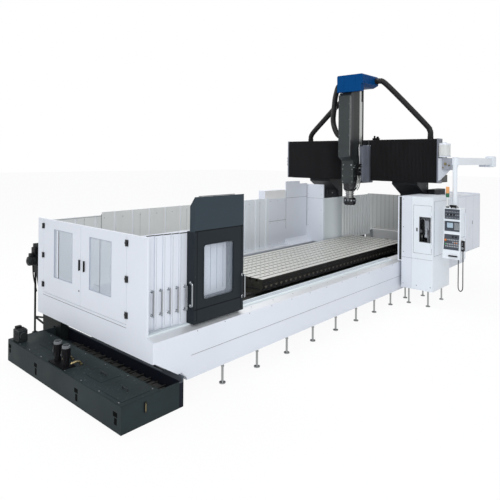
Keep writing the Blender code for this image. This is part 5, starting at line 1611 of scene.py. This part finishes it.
class OBJECT_OT_machine_walls(bpy.types.Operator):
    """Seams, vents and bolts of the walls, the guards and the skirts"""
    bl_idname = "object.machine_walls"
    bl_label = "Walls"
    bl_options = {"REGISTER", "UNDO"}

    def execute(self, context):
        dress("enamel", "wall_near", "near_post", "guard_far")
        dress("dull_enamel", "wall_far")
        dress("skirt_enamel", "skirt_near", "skirt_far")
        dress("pan_enamel", "pan_near", "pan_far")
        dress("stainless", "guard_passage", "door_track")
        dress("end_enamel", "wall_far_end")
        self.far_wall()
        self.far_guard()
        self.passage()
        self.near_parts()
        self.skirts()
        return {"FINISHED"}

    def far_wall(self):
        seams = Form()
        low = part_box("wall_far")[0]
        x = -4.99 + 0.372 * 1.5
        while x < 0.3:
            seams.box((x, low[1] - PROUD, 0.90), (x + 0.003, low[1] + 0.001, 2.0))
            x += 0.372 * 3
        seams.box((-4.116, low[1] - PROUD, 0.90), (-4.106, low[1] + 0.001, 2.03))
        seams.box((low[0] + 0.02, low[1] - PROUD, 1.992), (-4.116, low[1] + 0.001, 1.998))
        seams.made("far_wall_seams", "root", "seam")
        heads = Form()
        x = -4.80
        while x < 0.3:
            for z in (0.95, 1.96):
                heads.disc((x, low[1], z), (0, -1, 0), 0.009, 0.004, 6)
            x += 0.372
        heads.made("far_wall_bolts", "root", "steel")
        vents = Form()
        for k in range(7):
            x = 0.32 + k * 0.105
            vents.box((x, 1.598, 1.99), (x + 0.07, 1.6035, 2.20), 0.002)
        vents.made("duct_louvres", "root", "seam")

    def far_guard(self):
        seams = Form()
        inner = 1.38
        seams.box((0.366, inner - PROUD, 1.496), (1.03, inner + 0.001, 1.504))
        seams.box((1.028, inner - PROUD, 1.27), (1.036, inner + 0.001, 2.20))
        seams.box((1.04, inner - PROUD, 2.03), (1.915, inner + 0.001, 2.036))
        seams.box((1.9185, 0.875, 2.00), (1.9215, 1.385, 2.004))
        seams.box((1.9175, 1.368, 1.27), (1.9215, 1.379, 2.34))
        seams.made("guard_seams", "root", "seam")
        heads = Form()
        bolts(heads, [(x, inner, z) for x in (0.42, 0.70, 0.98) for z in (0.95, 1.46, 1.54, 1.98)],
              (0, -1, 0), 0.008, 0.004)
        bolts(heads, [(1.9195, y, z) for y in (0.93, 1.33) for z in (1.3, 1.7, 2.1, 2.31)], (-1, 0, 0),
              0.008,
              0.004)
        heads.made("guard_bolts", "root", "steel")

    def passage(self):
        """Apron that closes the gap under the guard beyond the far column; its grey sheet stands as painted
        shade for the dark space seen there.
        """
        low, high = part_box("guard_passage")
        apron = Form()
        apron.box((4.045, low[1] + 0.012, 0.62), (high[0], low[1] + 0.024, low[2] + 0.020), 0.001)
        apron.box((4.045, low[1] + 0.012, 0.62), (high[0], high[1] + 0.06, 0.632), 0.001)
        apron.made("passage_shade_apron", "root", "end_enamel")

    def near_parts(self):
        low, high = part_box("near_post")
        strip = Form()
        strip.box((low[0] - PROUD, low[1] + 0.0005, low[2] + 0.02),
                  (low[0] + 0.001, low[1] + 0.052, high[2] - 0.01))
        strip.box((low[0] + 0.02, low[1] - PROUD, low[2] + 0.02),
                  (low[0] + 0.035, low[1] + 0.001, high[2] - 0.01))
        strip.made("post_strip", "root", "dark_seam")
        seams = Form()
        low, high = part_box("wall_near")
        for x in (-4.84, -4.48):
            seams.box((x, low[1] - PROUD, low[2] + 0.03), (x + 0.003, low[1] + 0.001, high[2] - 0.02))
        seams.made("near_wall_seams", "root", "seam")
        rail = Form()
        track_low, track_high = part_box("door_track")
        for k in range(5):
            y = -1.352 + k * 0.021 + 0.006
            rail.box((track_low[0] + 0.01, y, track_high[2] - 0.0005), (track_high[0] - 0.01, y + 0.003,
                                                                       track_high[2] + 0.0035))
        rail.made("track_runners", "root", "pale_seam")

    def skirts(self):
        seams = Form()
        heads = Form()
        for side in (-1, 1):
            name = "skirt_near" if side < 0 else "skirt_far"
            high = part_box(name)[1]
            face = side * 1.527
            span = sorted((side * 1.5195, side * 1.5285))
            seams.box((-4.60, span[0], 0.5430), (high[0] - 0.01, span[1], 0.5475))
            x = -4.50
            while x < high[0] - 0.1:
                bolts(heads, [(x, face, 0.825)], (0, side, 0), 0.008, 0.004)
                bolts(heads, [(x + 0.1, side * 1.36, 0.8795), (x + 0.1, side * 1.47, 0.8795)], (0, 0, 1),
                      0.008,
                      0.004)
                x += 0.49
        seams.made("skirt_seams", "root", "seam")
        heads.made("skirt_bolts", "root", "steel")
        feet = Form()
        for side in (-1, 1):
            for k in range(9):
                x, y = -4.02 + k * 0.70, side * 1.497
                feet.turned([(0, 0.222), (0.024, 0.222), (0.024, 0.238), (0, 0.238)], (x, y, 0), sides=6)
        feet.made("leg_nuts", "root", "steel")


# Doors of the tank end

class OBJECT_OT_machine_end_doors(bpy.types.Operator):
    """Tank end's face and its two hinged doors: hinges, handles, lock and window gaskets"""
    bl_idname = "object.machine_end_doors"
    bl_label = "End doors"
    bl_options = {"REGISTER", "UNDO"}

    def execute(self, context):
        dress("door_enamel", "end_frame", "end_door_far", "end_door_near")
        dress("end_window", "end_window_far", "end_window_near")
        middle = 0.119
        for name, side in (("far", 1), ("near", -1)):
            body = "end_door_" + name
            low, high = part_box("end_window_" + name)
            gasket = Form()
            gasket.frame("X", END_X - 0.0015, END_X + 0.008,
                         (low[1] + 0.004, low[2] + 0.004, high[1] - 0.004,
                                                              high[2] - 0.004), 0.006)
            gasket.made(body + "_gasket", body, "pale_gasket")
            bars = Form()
            share, width = (0.78, 0.007) if side > 0 else (0.54, 0.004)
            y = low[1] + (high[1] - low[1]) * share
            bars.box((low[0] - 0.002, y - width, low[2] + 0.004),
                     (low[0] - 0.0003, y + width, high[2] - 0.004))
            if side > 0:
                light = Form()
                light.box((low[0] - 0.002, y + width + 0.002, low[2] + 0.004),
                          (low[0] - 0.0003, y + width + 0.045, high[2] - 0.004))
                light.made(body + "_light_strip", body, "enamel")
            else:
                bars.box((low[0] - 0.002, y, 1.300), (low[0] - 0.0003, high[1] - 0.10, 1.304))
            bars.made(body + "_bars", body, finish("dark_seam" if side > 0 else "seam"))
            handle = Form()
            y = middle + 0.018 if side > 0 else middle - 0.105
            handle.box((END_X - 0.024, y - 0.007, 1.432), (END_X - 0.014, y + 0.007, 1.585), 0.004)
            handle.box((END_X - 0.016, y - 0.006, 1.436), (END_X + 0.001, y + 0.006, 1.581), 0.002)
            handle.made(body + "_handle", body, "door_seam", smooth=True)
            axis_y = END_HINGES[0] if side > 0 else END_HINGES[1]
            for name_end, owner, turn in (("door", body, -side), ("frame", "root", side)):
                leaves = Form()
                for z in HINGE_HEIGHTS:
                    span = sorted((axis_y + turn * 0.0135, axis_y + turn * 0.034))
                    leaves.box((END_X - 0.006, span[0], z - 0.039), (END_X + 0.0005, span[1], z + 0.039),
                               0.002)
                    for dz in (-0.026, 0.026):
                        leaves.disc((END_X - 0.0055, axis_y + turn * 0.024, z + dz), (-1, 0, 0), 0.005,
                                    0.002, 8)
                leaves.made("%s_hinge_%s" % (body, name_end), owner, "door_seam")
        self.frame_details()
        return {"FINISHED"}

    def frame_details(self):
        lock = Form()
        lock.disc((END_X, 0.154, 1.147), (-1, 0, 0), 0.013, 0.008, 16)
        lock.made("end_door_lock", "end_door_far", "chrome", smooth=True)
        seams = Form()
        seams.box((END_X - PROUD, END_HINGES[1], 0.90), (END_X + 0.001, END_HINGES[0], 0.906))
        seams.made("end_frame_seams", "root", "seam")


# Sliding panels and the operator's door

class OBJECT_OT_machine_panels(bpy.types.Operator):
    """Five telescoping panels: chrome handles, top edges and folded edges, with swages and a sill on the
    fifth
    """
    bl_idname = "object.machine_panels"
    bl_label = "Sliding panels"
    bl_options = {"REGISTER", "UNDO"}

    def execute(self, context):
        radius = sizes().handle_radius
        for k in range(5):
            name = "slide_panel_%d" % (k + 1)
            dress("panel_enamel", name)
            low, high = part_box(name)
            left = -5.10 + 0.111 * k
            face = -(1.352 - (4 - k) * 0.021)
            grip = Form()
            grip.tube([(left + 0.08, low[1] + 0.007, 1.065), (left + 0.08, low[1] + 0.007, 1.385)], radius,
                      16)
            for z in (1.08, 1.37):
                grip.tube([(left + 0.08, low[1] + 0.007, z), (left + 0.08, face + 0.001, z)], radius * 0.95,
                          14)
                grip.disc((left + 0.08, face, z), (0, -1, 0), radius * 1.7, 0.006, 16)
            grip.made(name + "_handle", name, "chrome", smooth=True)
            trim = Form()
            trim.box((left - 0.0012, face - 0.0012, high[2] - 0.014),
                     (left + 0.978, face + 0.004, high[2] - 0.002))
            trim.made(name + "_top_edge", name, "dark_seam")
            folds = Form()
            folds.box((left + 0.020, face - PROUD, low[2] + 0.03),
                      (left + 0.022, face + 0.001, high[2] - 0.035))
            folds.box((left + 0.955, face - PROUD, low[2] + 0.03),
                      (left + 0.957, face + 0.001, high[2] - 0.035))
            folds.made(name + "_folds", name, "seam")
        grooves, sill = Form(), Form()
        # Painted shade: the swage grooves are recessed and painted darker.
        for k in range(5):
            x = -4.365 + 0.118 * k
            grooves.loft([[(x, face - 0.0005, z), (x + 0.014, face - 0.0005, z),
                           (x + 0.011, face - 0.003, z),
                           (x + 0.003, face - 0.003, z)] for z in (1.235, 2.00)])
        sill.box((-4.44, face - 0.0035, 1.195), (-3.76, face - 0.0003, 1.228), 0.001)
        grooves.made("slide_panel_5_swages", "slide_panel_5", "pale_gasket")
        sill.made("slide_panel_5_sill", "slide_panel_5", "enamel")
        return {"FINISHED"}


class OBJECT_OT_machine_operator_door(bpy.types.Operator):
    """Dark operator's door: window gasket, handles, seams, hood edge and bolts"""
    bl_idname = "object.machine_operator_door"
    bl_label = "Operator door"
    bl_options = {"REGISTER", "UNDO"}

    def execute(self, context):
        body = "operator_door"
        dress("dark_enamel", body)
        dress("window", "operator_window")
        low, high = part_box(body)
        face = -1.50
        gasket = Form()
        outline = []
        for cx, cz, start in ((-3.87, 1.85, 0), (-4.34, 1.85, 90), (-4.34, 1.225, 180), (-3.87, 1.225, 270)):
            for step in range(7):
                angle = math.radians(start + 15 * step)
                outline.append((cx, cz, math.cos(angle), math.sin(angle)))
        rings = []
        for grow, y in ((0.034, face + 0.003), (0.050, face + 0.001), (0.054, face - 0.003),
                        (0.052, face - 0.005),
                        (0.038, face - 0.006), (0.034, face - 0.004), (0.034, face + 0.003)):
            rings.append([(cx + grow * u, y, cz + grow * v) for cx, cz, u, v in outline])
        gasket.loft(rings, caps=False)
        gasket.made("operator_window_gasket", body, "dark_enamel", smooth=True)
        seams = Form()
        for z in (1.075, 2.066):
            seams.box((low[0] + 0.004, face - PROUD, z), (high[0] - 0.004, face + 0.001, z + 0.012))
        for x in (low[0] + 0.045, high[0] - 0.050):
            seams.box((x, face - PROUD, 0.93), (x + 0.006, face + 0.001, 2.066))
        seams.made("operator_door_seams", body, "door_seam")
        handles = Form()
        radius = sizes().handle_radius
        pull_handle(handles, (-4.5405, -1.435, 1.13), (-4.5405, -1.435, 1.42), (-0.022, -0.055, 0), radius)
        pull_handle(handles, (-3.655, -1.5005, 1.09), (-3.655, -1.5005, 1.39), (0, -0.050, 0), radius)
        handles.made("operator_door_handles", body, "chrome", smooth=True)
        rail = Form()
        rail.box((-4.41, -1.430, 2.505), (-3.74, -1.425, 2.5135), 0.001)
        rail.made("hood_edge", body, "dark_enamel")
        heads = Form()
        bolts(heads, [(x, face, z) for x in (-4.52, -3.65) for z in (0.97, 1.50, 2.03)], (0, -1, 0), 0.007,
              0.004)
        heads.made("operator_door_bolts", body, "dark_steel")
        return {"FINISHED"}


# Cabinets

class OBJECT_OT_machine_cabinets(bpy.types.Operator):
    """Tool magazine with its door and drum, and the electrical cabinet"""
    bl_idname = "object.machine_cabinets"
    bl_label = "Cabinets"
    bl_options = {"REGISTER", "UNDO"}

    def execute(self, context):
        dress("lit_shaded_cabinet_enamel", "magazine_cabinet", "magazine_door")
        dress("enamel", "electrical_cabinet")
        dress("smoked_window", "magazine_window")
        dress("dark_steel", "magazine_drum")
        self.magazine()
        self.drum()
        self.electrical()
        return {"FINISHED"}

    def magazine(self):
        low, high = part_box("magazine_cabinet")
        face = MAGAZINE_FACE
        pane_low, pane_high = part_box("magazine_window")
        gasket = Form()
        gasket.frame("X", face - 0.003, face + 0.005, (pane_low[1] + 0.004, pane_low[2] + 0.004,
                                                       pane_high[1] - 0.004, pane_high[2] - 0.004), 0.014)
        gasket.made("magazine_window_gasket", "magazine_door", "gasket")
        latch = Form()
        latch.box((face - 0.010, -1.925, 1.535), (face + 0.001, -1.901, 1.607), 0.004)
        latch.disc((face - 0.009, -1.913, 1.571), (-1, 0, 0), 0.008, 0.010, 12)
        latch.made("magazine_latch", "magazine_door", "black_moulding", smooth=True)
        seams = Form()
        seams.box((face - PROUD, low[1] + 0.01, 0.968), (face + 0.001, high[1] - 0.01, 0.972))
        edge = Form()
        edge.box((face - PROUD, -1.801, 0.36), (face + 0.001, -1.799, high[2] - 0.01))
        edge.made("magazine_edge", "root", "pale_seam")
        seams.frame("Y", low[1] - PROUD, low[1] + 0.001, (1.26, 1.05, 2.04, 2.16), 0.003)
        seams.made("magazine_seams", "root", "seam")
        heads = Form()
        bolts(heads, [(face, -1.62, z) for z in (0.42, 1.08, 1.60, 2.18)], (-1, 0, 0), 0.008, 0.004)
        bolts(heads, [(face, y, 0.42) for y in (-2.20, -1.91)], (-1, 0, 0), 0.009, 0.005)
        heads.made("magazine_screws", "root", "dark_steel")

    def drum(self):
        centre = (1.65, -1.915)
        pockets, tools = Form(), Form()
        for k in range(16):
            angle = 2 * math.pi * k / 16
            out = Vector((math.cos(angle), math.sin(angle), 0))
            spot = Vector((*centre, 1.52)) + out * 0.243
            pockets.box(spot - Vector((0.024, 0.024, 0.03)), spot + Vector((0.024, 0.024, 0.03)), 0.004)
            if k % 3:
                place = Vector((*centre, 0)) + out * 0.205
                tools.turned([(0, 1.28), (0.012, 1.28), (0.012, 1.36), (0.028, 1.37), (0.028, 1.43),
                              (0.020, 1.452),
                              (0, 1.452)], place, sides=14)
        pockets.made("drum_pockets", "root", "key_gray")
        tools.made("drum_tools", "root", "steel", smooth=True)
        changer = Form()
        changer.box((1.30, -2.13, 1.56), (1.38, -2.03, 1.76), 0.015)
        changer.box((1.26, -2.10, 1.50), (1.34, -2.06, 1.60), 0.010)
        changer.turned([(0, 0), (0.035, 0), (0.035, 0.05), (0.022, 0.06), (0.022, 0.12), (0, 0.12)],
                       (1.27, -2.08, 1.42))
        changer.tube(smooth_route([(1.34, -2.03, 1.74), (1.34, -1.99, 1.80), (1.36, -1.94, 1.78)], 6),
                     0.012, 10)
        changer.box((1.36, -2.14, 1.75), (1.42, -2.02, 1.795), 0.004)
        changer.box((1.37, -2.12, 0.96), (1.42, -2.06, 1.57), 0.004)
        changer.made("tool_changer", "root", "enamel", smooth=True)

    def electrical(self):
        low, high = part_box("electrical_cabinet")
        seams = Form()
        for x in (2.60, 3.10, 3.60):
            seams.box((x, low[1] - PROUD, low[2] + 0.03), (x + 0.004, low[1] + 0.001, high[2] - 0.03))
        seams.frame("Y", low[1] - PROUD, low[1] + 0.001, (low[0] + 0.02, low[2] + 0.02, high[0] - 0.02,
                                                          high[2] - 0.02), 0.003)
        seams.made("electrical_seams", "root", "pale_seam")
        handles = Form()
        for x in (2.56, 3.06, 3.56):
            handles.box((x - 0.010, low[1] - 0.012, 1.50), (x + 0.010, low[1] + 0.001, 1.58), 0.003)
        handles.made("electrical_handles", "root", "key_gray", smooth=True)
        trim = Form()
        trim.box((low[0] + 0.01, low[1] + 0.01, high[2] - 0.0005),
                 (high[0] - 0.005, low[1] + 0.03, high[2] + 0.015),
                 0.003)
        trim.box((high[0] - 0.03, low[1] + 0.03, high[2] - 0.0005), (high[0] - 0.005, high[1] - 0.01,
                                                                    high[2] + 0.02), 0.003)
        trim.made("electrical_trim", "root", "enamel")
        louvres = Form()
        for x in (2.72, 3.22):
            for k in range(9):
                louvres.prism([(low[1] + 0.001, 1.20 + k * 0.028), (low[1] - 0.008, 1.204 + k * 0.028),
                               (low[1] + 0.001, 1.220 + k * 0.028)], "X", x, x + 0.26)
        louvres.made("electrical_louvres", "root", "enamel")


# Coolant tank, chip chain and conveyor

class OBJECT_OT_machine_tank(bpy.types.Operator):
    """Coolant tank with its pumps and gauge, the chip chain and the conveyor"""
    bl_idname = "object.machine_tank"
    bl_label = "Tank and conveyor"
    bl_options = {"REGISTER", "UNDO"}

    def execute(self, context):
        dress("tank_enamel", "tank")
        dress("chain_steel", "chip_chain")
        dress("pump_enamel", "coolant_pumps")
        dress("motor_enamel", "tank_motor", "conveyor_drive")
        dress("conveyor_enamel", "chip_conveyor")
        self.lid()
        self.face()
        self.pumps()
        self.chain()
        self.conveyor()
        return {"FINISHED"}

    def lid(self):
        low, high = TANK_LOW, TANK_HIGH
        top = 0.31
        seams, heads = Form(), Form()
        for y in (-1.02, -0.52, 0.30, 0.86):
            seams.box((low[0] + 0.012, y, top - 0.001), (-5.14, y + 0.004, top + PROUD))
        seams.box((-5.36, -0.52, top - 0.001), (-5.356, 0.30, top + PROUD))
        seams.made("tank_seams", "root", "dark_seam")
        edges = Form()
        edges.frame("Z", top - 0.001, top + 0.004, (low[0] + 0.010, low[1] + 0.010, -5.131, 1.32), 0.006)
        edges.made("tank_edge", "root", "tank_enamel")
        bolts(heads, [(low[0] + 0.035, y, top) for y in (-1.5, -1.1, -0.7, -0.3, 0.35, 0.7, 1.0, 1.27)],
              (0, 0, 1),
              0.009, 0.006)
        bolts(heads, [(-5.17, y, top) for y in (-1.5, -1.0, -0.5, 0.0, 0.5, 1.0)], (0, 0, 1), 0.009, 0.006)
        heads.made("tank_bolts", "root", "steel")
        covers = Form()
        covers.box((-5.60, -1.52, top - 0.0005), (-5.22, -1.09, top + 0.005), 0.002)
        covers.box((-5.50, -0.93, top - 0.0005), (-5.22, -0.60, top + 0.005), 0.002)
        covers.box((-5.44, 0.42, top - 0.0005), (-5.20, 0.80, top + 0.005), 0.002)
        covers.made("tank_covers", "root", "tank_enamel")
        pulls = Form()
        for x, y in ((-5.41, -1.30), (-5.36, -0.76), (-5.32, 0.61)):
            pull_handle(pulls, (x, y - 0.05, top + 0.005), (x, y + 0.05, top + 0.005), (0, 0, 0.028), 0.005)
        pulls.made("tank_lid_pulls", "root", "dark_steel", smooth=True)

    def face(self):
        low, high = TANK_LOW, TANK_HIGH
        gauge = Form()
        gauge.box((-5.362, low[1] - 0.016, 0.142), (-5.332, low[1] + 0.001, 0.255), 0.004)
        gauge.made("level_gauge", "root", "black_moulding")
        glass = Form()
        glass.box((-5.353, low[1] - 0.0185, 0.160), (-5.341, low[1] - 0.014, 0.237), 0.002)
        glass.disc((-5.347, low[1] - 0.015, 0.246), (0, -1, 0), 0.005, 0.004, 8)
        glass.disc((-5.347, low[1] - 0.015, 0.151), (0, -1, 0), 0.005, 0.004, 8)
        glass.made("level_glass", "root", "brass")
        feet = Form()
        for x in (low[0] + 0.06, -5.20):
            for y in (low[1] + 0.06, 1.27):
                feet.box((x - 0.045, y - 0.045, 0.001), (x + 0.045, y + 0.045, 0.012), 0.002)
        feet.made("tank_feet", "root", "dark_steel")

    def pumps(self):
        low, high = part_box("coolant_pumps")
        heads, rings, pipes = Form(), Form(), Form()
        for y in (0.035, -0.185):
            place = (-5.55, y, 0)
            rings.turned([(0, high[2] - 0.043), (0.0545, high[2] - 0.043), (0.0545, high[2] - 0.036),
                          (0, high[2] - 0.036)], place)
            rings.turned([(0, 0.3095), (0.066, 0.3095), (0.066, 0.320), (0, 0.320)], place)
            for k in range(10):
                angle = math.radians(36 * k)
                spot = Vector((-5.55 + 0.0525 * math.cos(angle), y + 0.0525 * math.sin(angle), 0))
                rings.box(spot + Vector((-0.003, -0.003, 0.40)),
                          spot + Vector((0.003, 0.003, high[2] - 0.05)))
            heads.disc((-5.55, y, high[2] - 0.001), (0, 0, 1), 0.040, 0.010, 20)
            heads.disc((-5.55 - 0.052, y + 0.0, 0.475), (-1, 0, 0), 0.016, 0.018, 12)
            heads.box((-5.60 + 0.01, y - 0.028, 0.445), (-5.545, y + 0.055, 0.505), 0.004)
            pipes.tube(smooth_route([(-5.50, y - 0.05, 0.345), (-5.44, y - 0.07, 0.36),
                                     (-5.40, y - 0.08, 0.345),
                                     (-5.385, y - 0.085, 0.309)], 6), 0.014, 12)
            pipes.disc((-5.505, y - 0.045, 0.345), (0.8, -0.6, 0), 0.020, 0.016, 8)
            pipes.disc((-5.385, y - 0.085, 0.3095), (0, 0, 1), 0.020, 0.020, 8)
        heads.made("pump_caps", "root", "motor_enamel", smooth=True)
        rings.made("pump_rings", "root", "black_moulding", smooth=True)
        pipes.made("pump_pipes", "root", "brass", smooth=True)
        fins = Form()
        low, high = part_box("tank_motor")
        for k in range(7):
            y = low[1] + 0.012 + k * 0.018
            fins.box((low[0] + 0.012, y, high[2] - 0.004), (high[0] - 0.012, y + 0.005, high[2] + 0.010),
                     0.001)
            fins.box((low[0] - 0.006, y, low[2] + 0.03), (low[0] + 0.004, y + 0.005, high[2] - 0.012), 0.001)
        fins.disc(((low[0] + high[0]) / 2, low[1], (low[2] + high[2]) / 2 + 0.01), (0, -1, 0), 0.050, 0.025,
                  24)
        fins.made("tank_motor_fins", "root", "motor_enamel")
        terminal = Form()
        terminal.box((low[0] + 0.02, high[1] - 0.07, high[2] + 0.0), (high[0] - 0.04, high[1] - 0.01,
                                                                     high[2] + 0.035), 0.004)
        terminal.made("tank_motor_terminal", "root", "black_moulding", smooth=True)

    def chain(self):
        """Hinged slats of the chip chain, with cleats along one side."""
        low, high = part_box("chip_chain")
        slats, rollers = Form(), Form()
        pitch = sizes().slat_pitch
        y = low[1] + 0.04
        while y < high[1] - 0.05:
            slats.box((low[0] + 0.030, y, high[2] - 0.018),
                      (high[0] - 0.030, y + pitch * 0.82, high[2] - 0.011),
                      0.002)
            rollers.box((low[0] + 0.010, y, high[2] - 0.015),
                        (low[0] + 0.120, y + pitch * 0.42, high[2] + 0.012),
                        0.006)
            y += pitch
        slats.made("chain_slats", "root", "chain_steel")
        rollers.made("chain_cleats", "root", "worn_steel")

    def conveyor(self):
        low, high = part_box("conveyor_drive")
        middle = ((low[1] + high[1]) / 2, (low[2] + high[2]) / 2)
        form = Form()
        form.disc((low[0] + 0.001, *middle), (-1, 0, 0), 0.060, 0.012, 24)
        for k in range(5):
            form.turned([(0, 0.012 + k * 0.020), (0.079, 0.012 + k * 0.020), (0.079, 0.018 + k * 0.020),
                         (0, 0.018 + k * 0.020)], (low[0], *middle), (1, 0, 0))
        form.made("conveyor_motor_fins", "root", "motor_enamel", smooth=True)
        mount = Form()
        mount.box((high[0] - 0.020, middle[0] - 0.095, middle[1] - 0.095),
                  (high[0] - 0.002, middle[0] + 0.090,
                                                                         middle[1] + 0.095), 0.010)
        mount.box((low[0] + 0.020, middle[0] - 0.045, middle[1] + 0.065),
                  (high[0] - 0.030, middle[0] + 0.045,
                                                                        middle[1] + 0.125), 0.008)
        mount.box((high[0] - 0.045, middle[0] - 0.07, middle[1] + 0.10), (high[0] - 0.002, middle[0] + 0.06,
                                                                       middle[1] + 0.22), 0.010)
        mount.turned([(0, 0), (0.030, 0), (0.030, 0.020), (0, 0.020)], (low[0] + 0.001, *middle), (-1, 0, 0))
        mount.tube(smooth_route([(low[0] + 0.06, middle[0] - 0.03, middle[1] + 0.07),
                                 (low[0] + 0.03, middle[0] - 0.10, middle[1] - 0.02),
                                 (low[0] + 0.05, middle[0] - 0.09, middle[1] - 0.25),
                                 (high[0] - 0.02, middle[0] - 0.10, middle[1] - 0.50)], 8), 0.010, 8)
        mount.made("conveyor_mount", "root", "black_moulding", smooth=True)
        belt_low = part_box("chip_conveyor")[0]
        heads = Form()
        bolts(heads, [(belt_low[0] + 0.0005, 1.70 + 0.10 * k, 0.62 + 0.156 * k) for k in range(3)],
              (-1, 0, 0),
              0.008, 0.005)
        heads.made("conveyor_bolts", "root", "steel")


# Add-on

OPERATORS = (
    OBJECT_OT_machine_stage,
    OBJECT_OT_machine_cord,
    OBJECT_OT_machine_console,
    OBJECT_OT_machine_castings,
    OBJECT_OT_machine_table,
    OBJECT_OT_machine_bellows,
    OBJECT_OT_machine_saddle,
    OBJECT_OT_machine_ram,
    OBJECT_OT_machine_hoses,
    OBJECT_OT_machine_walls,
    OBJECT_OT_machine_end_doors,
    OBJECT_OT_machine_panels,
    OBJECT_OT_machine_operator_door,
    OBJECT_OT_machine_cabinets,
    OBJECT_OT_machine_tank,
)


class VIEW3D_PT_machining_center(bpy.types.Panel):
    """Sizes, colours and pieces of the machining center"""
    bl_idname = "VIEW3D_PT_machining_center"
    bl_label = "Machining Center"
    bl_space_type = "VIEW_3D"
    bl_region_type = "UI"
    bl_category = "Machining Center"

    def draw(self, context):
        layout = self.layout
        for settings in (context.scene.machine_sizes, context.scene.machine_colors):
            box = layout.box()
            for name in settings.__annotations__:
                box.prop(settings, name)
        column = layout.column(align=True)
        for operator in OPERATORS:
            column.operator(operator.bl_idname)


CLASSES = (MachineSizes, MachineColors, *OPERATORS, VIEW3D_PT_machining_center)


def register():
    for cls in CLASSES:
        bpy.utils.register_class(cls)
    bpy.types.Scene.machine_sizes = PointerProperty(type=MachineSizes)
    bpy.types.Scene.machine_colors = PointerProperty(type=MachineColors)


def unregister():
    del bpy.types.Scene.machine_colors
    del bpy.types.Scene.machine_sizes
    for cls in reversed(CLASSES):
        bpy.utils.unregister_class(cls)


def main():
    register()
    bpy.ops.object.machine_stage()
    bpy.ops.object.machine_cord()
    bpy.ops.object.machine_console()
    bpy.ops.object.machine_castings()
    bpy.ops.object.machine_table()
    bpy.ops.object.machine_bellows()
    bpy.ops.object.machine_saddle()
    bpy.ops.object.machine_ram()
    bpy.ops.object.machine_hoses()
    bpy.ops.object.machine_walls()
    bpy.ops.object.machine_end_doors()
    bpy.ops.object.machine_panels()
    bpy.ops.object.machine_operator_door()
    bpy.ops.object.machine_cabinets()
    bpy.ops.object.machine_tank()


if __name__ == "__main__":
    main()
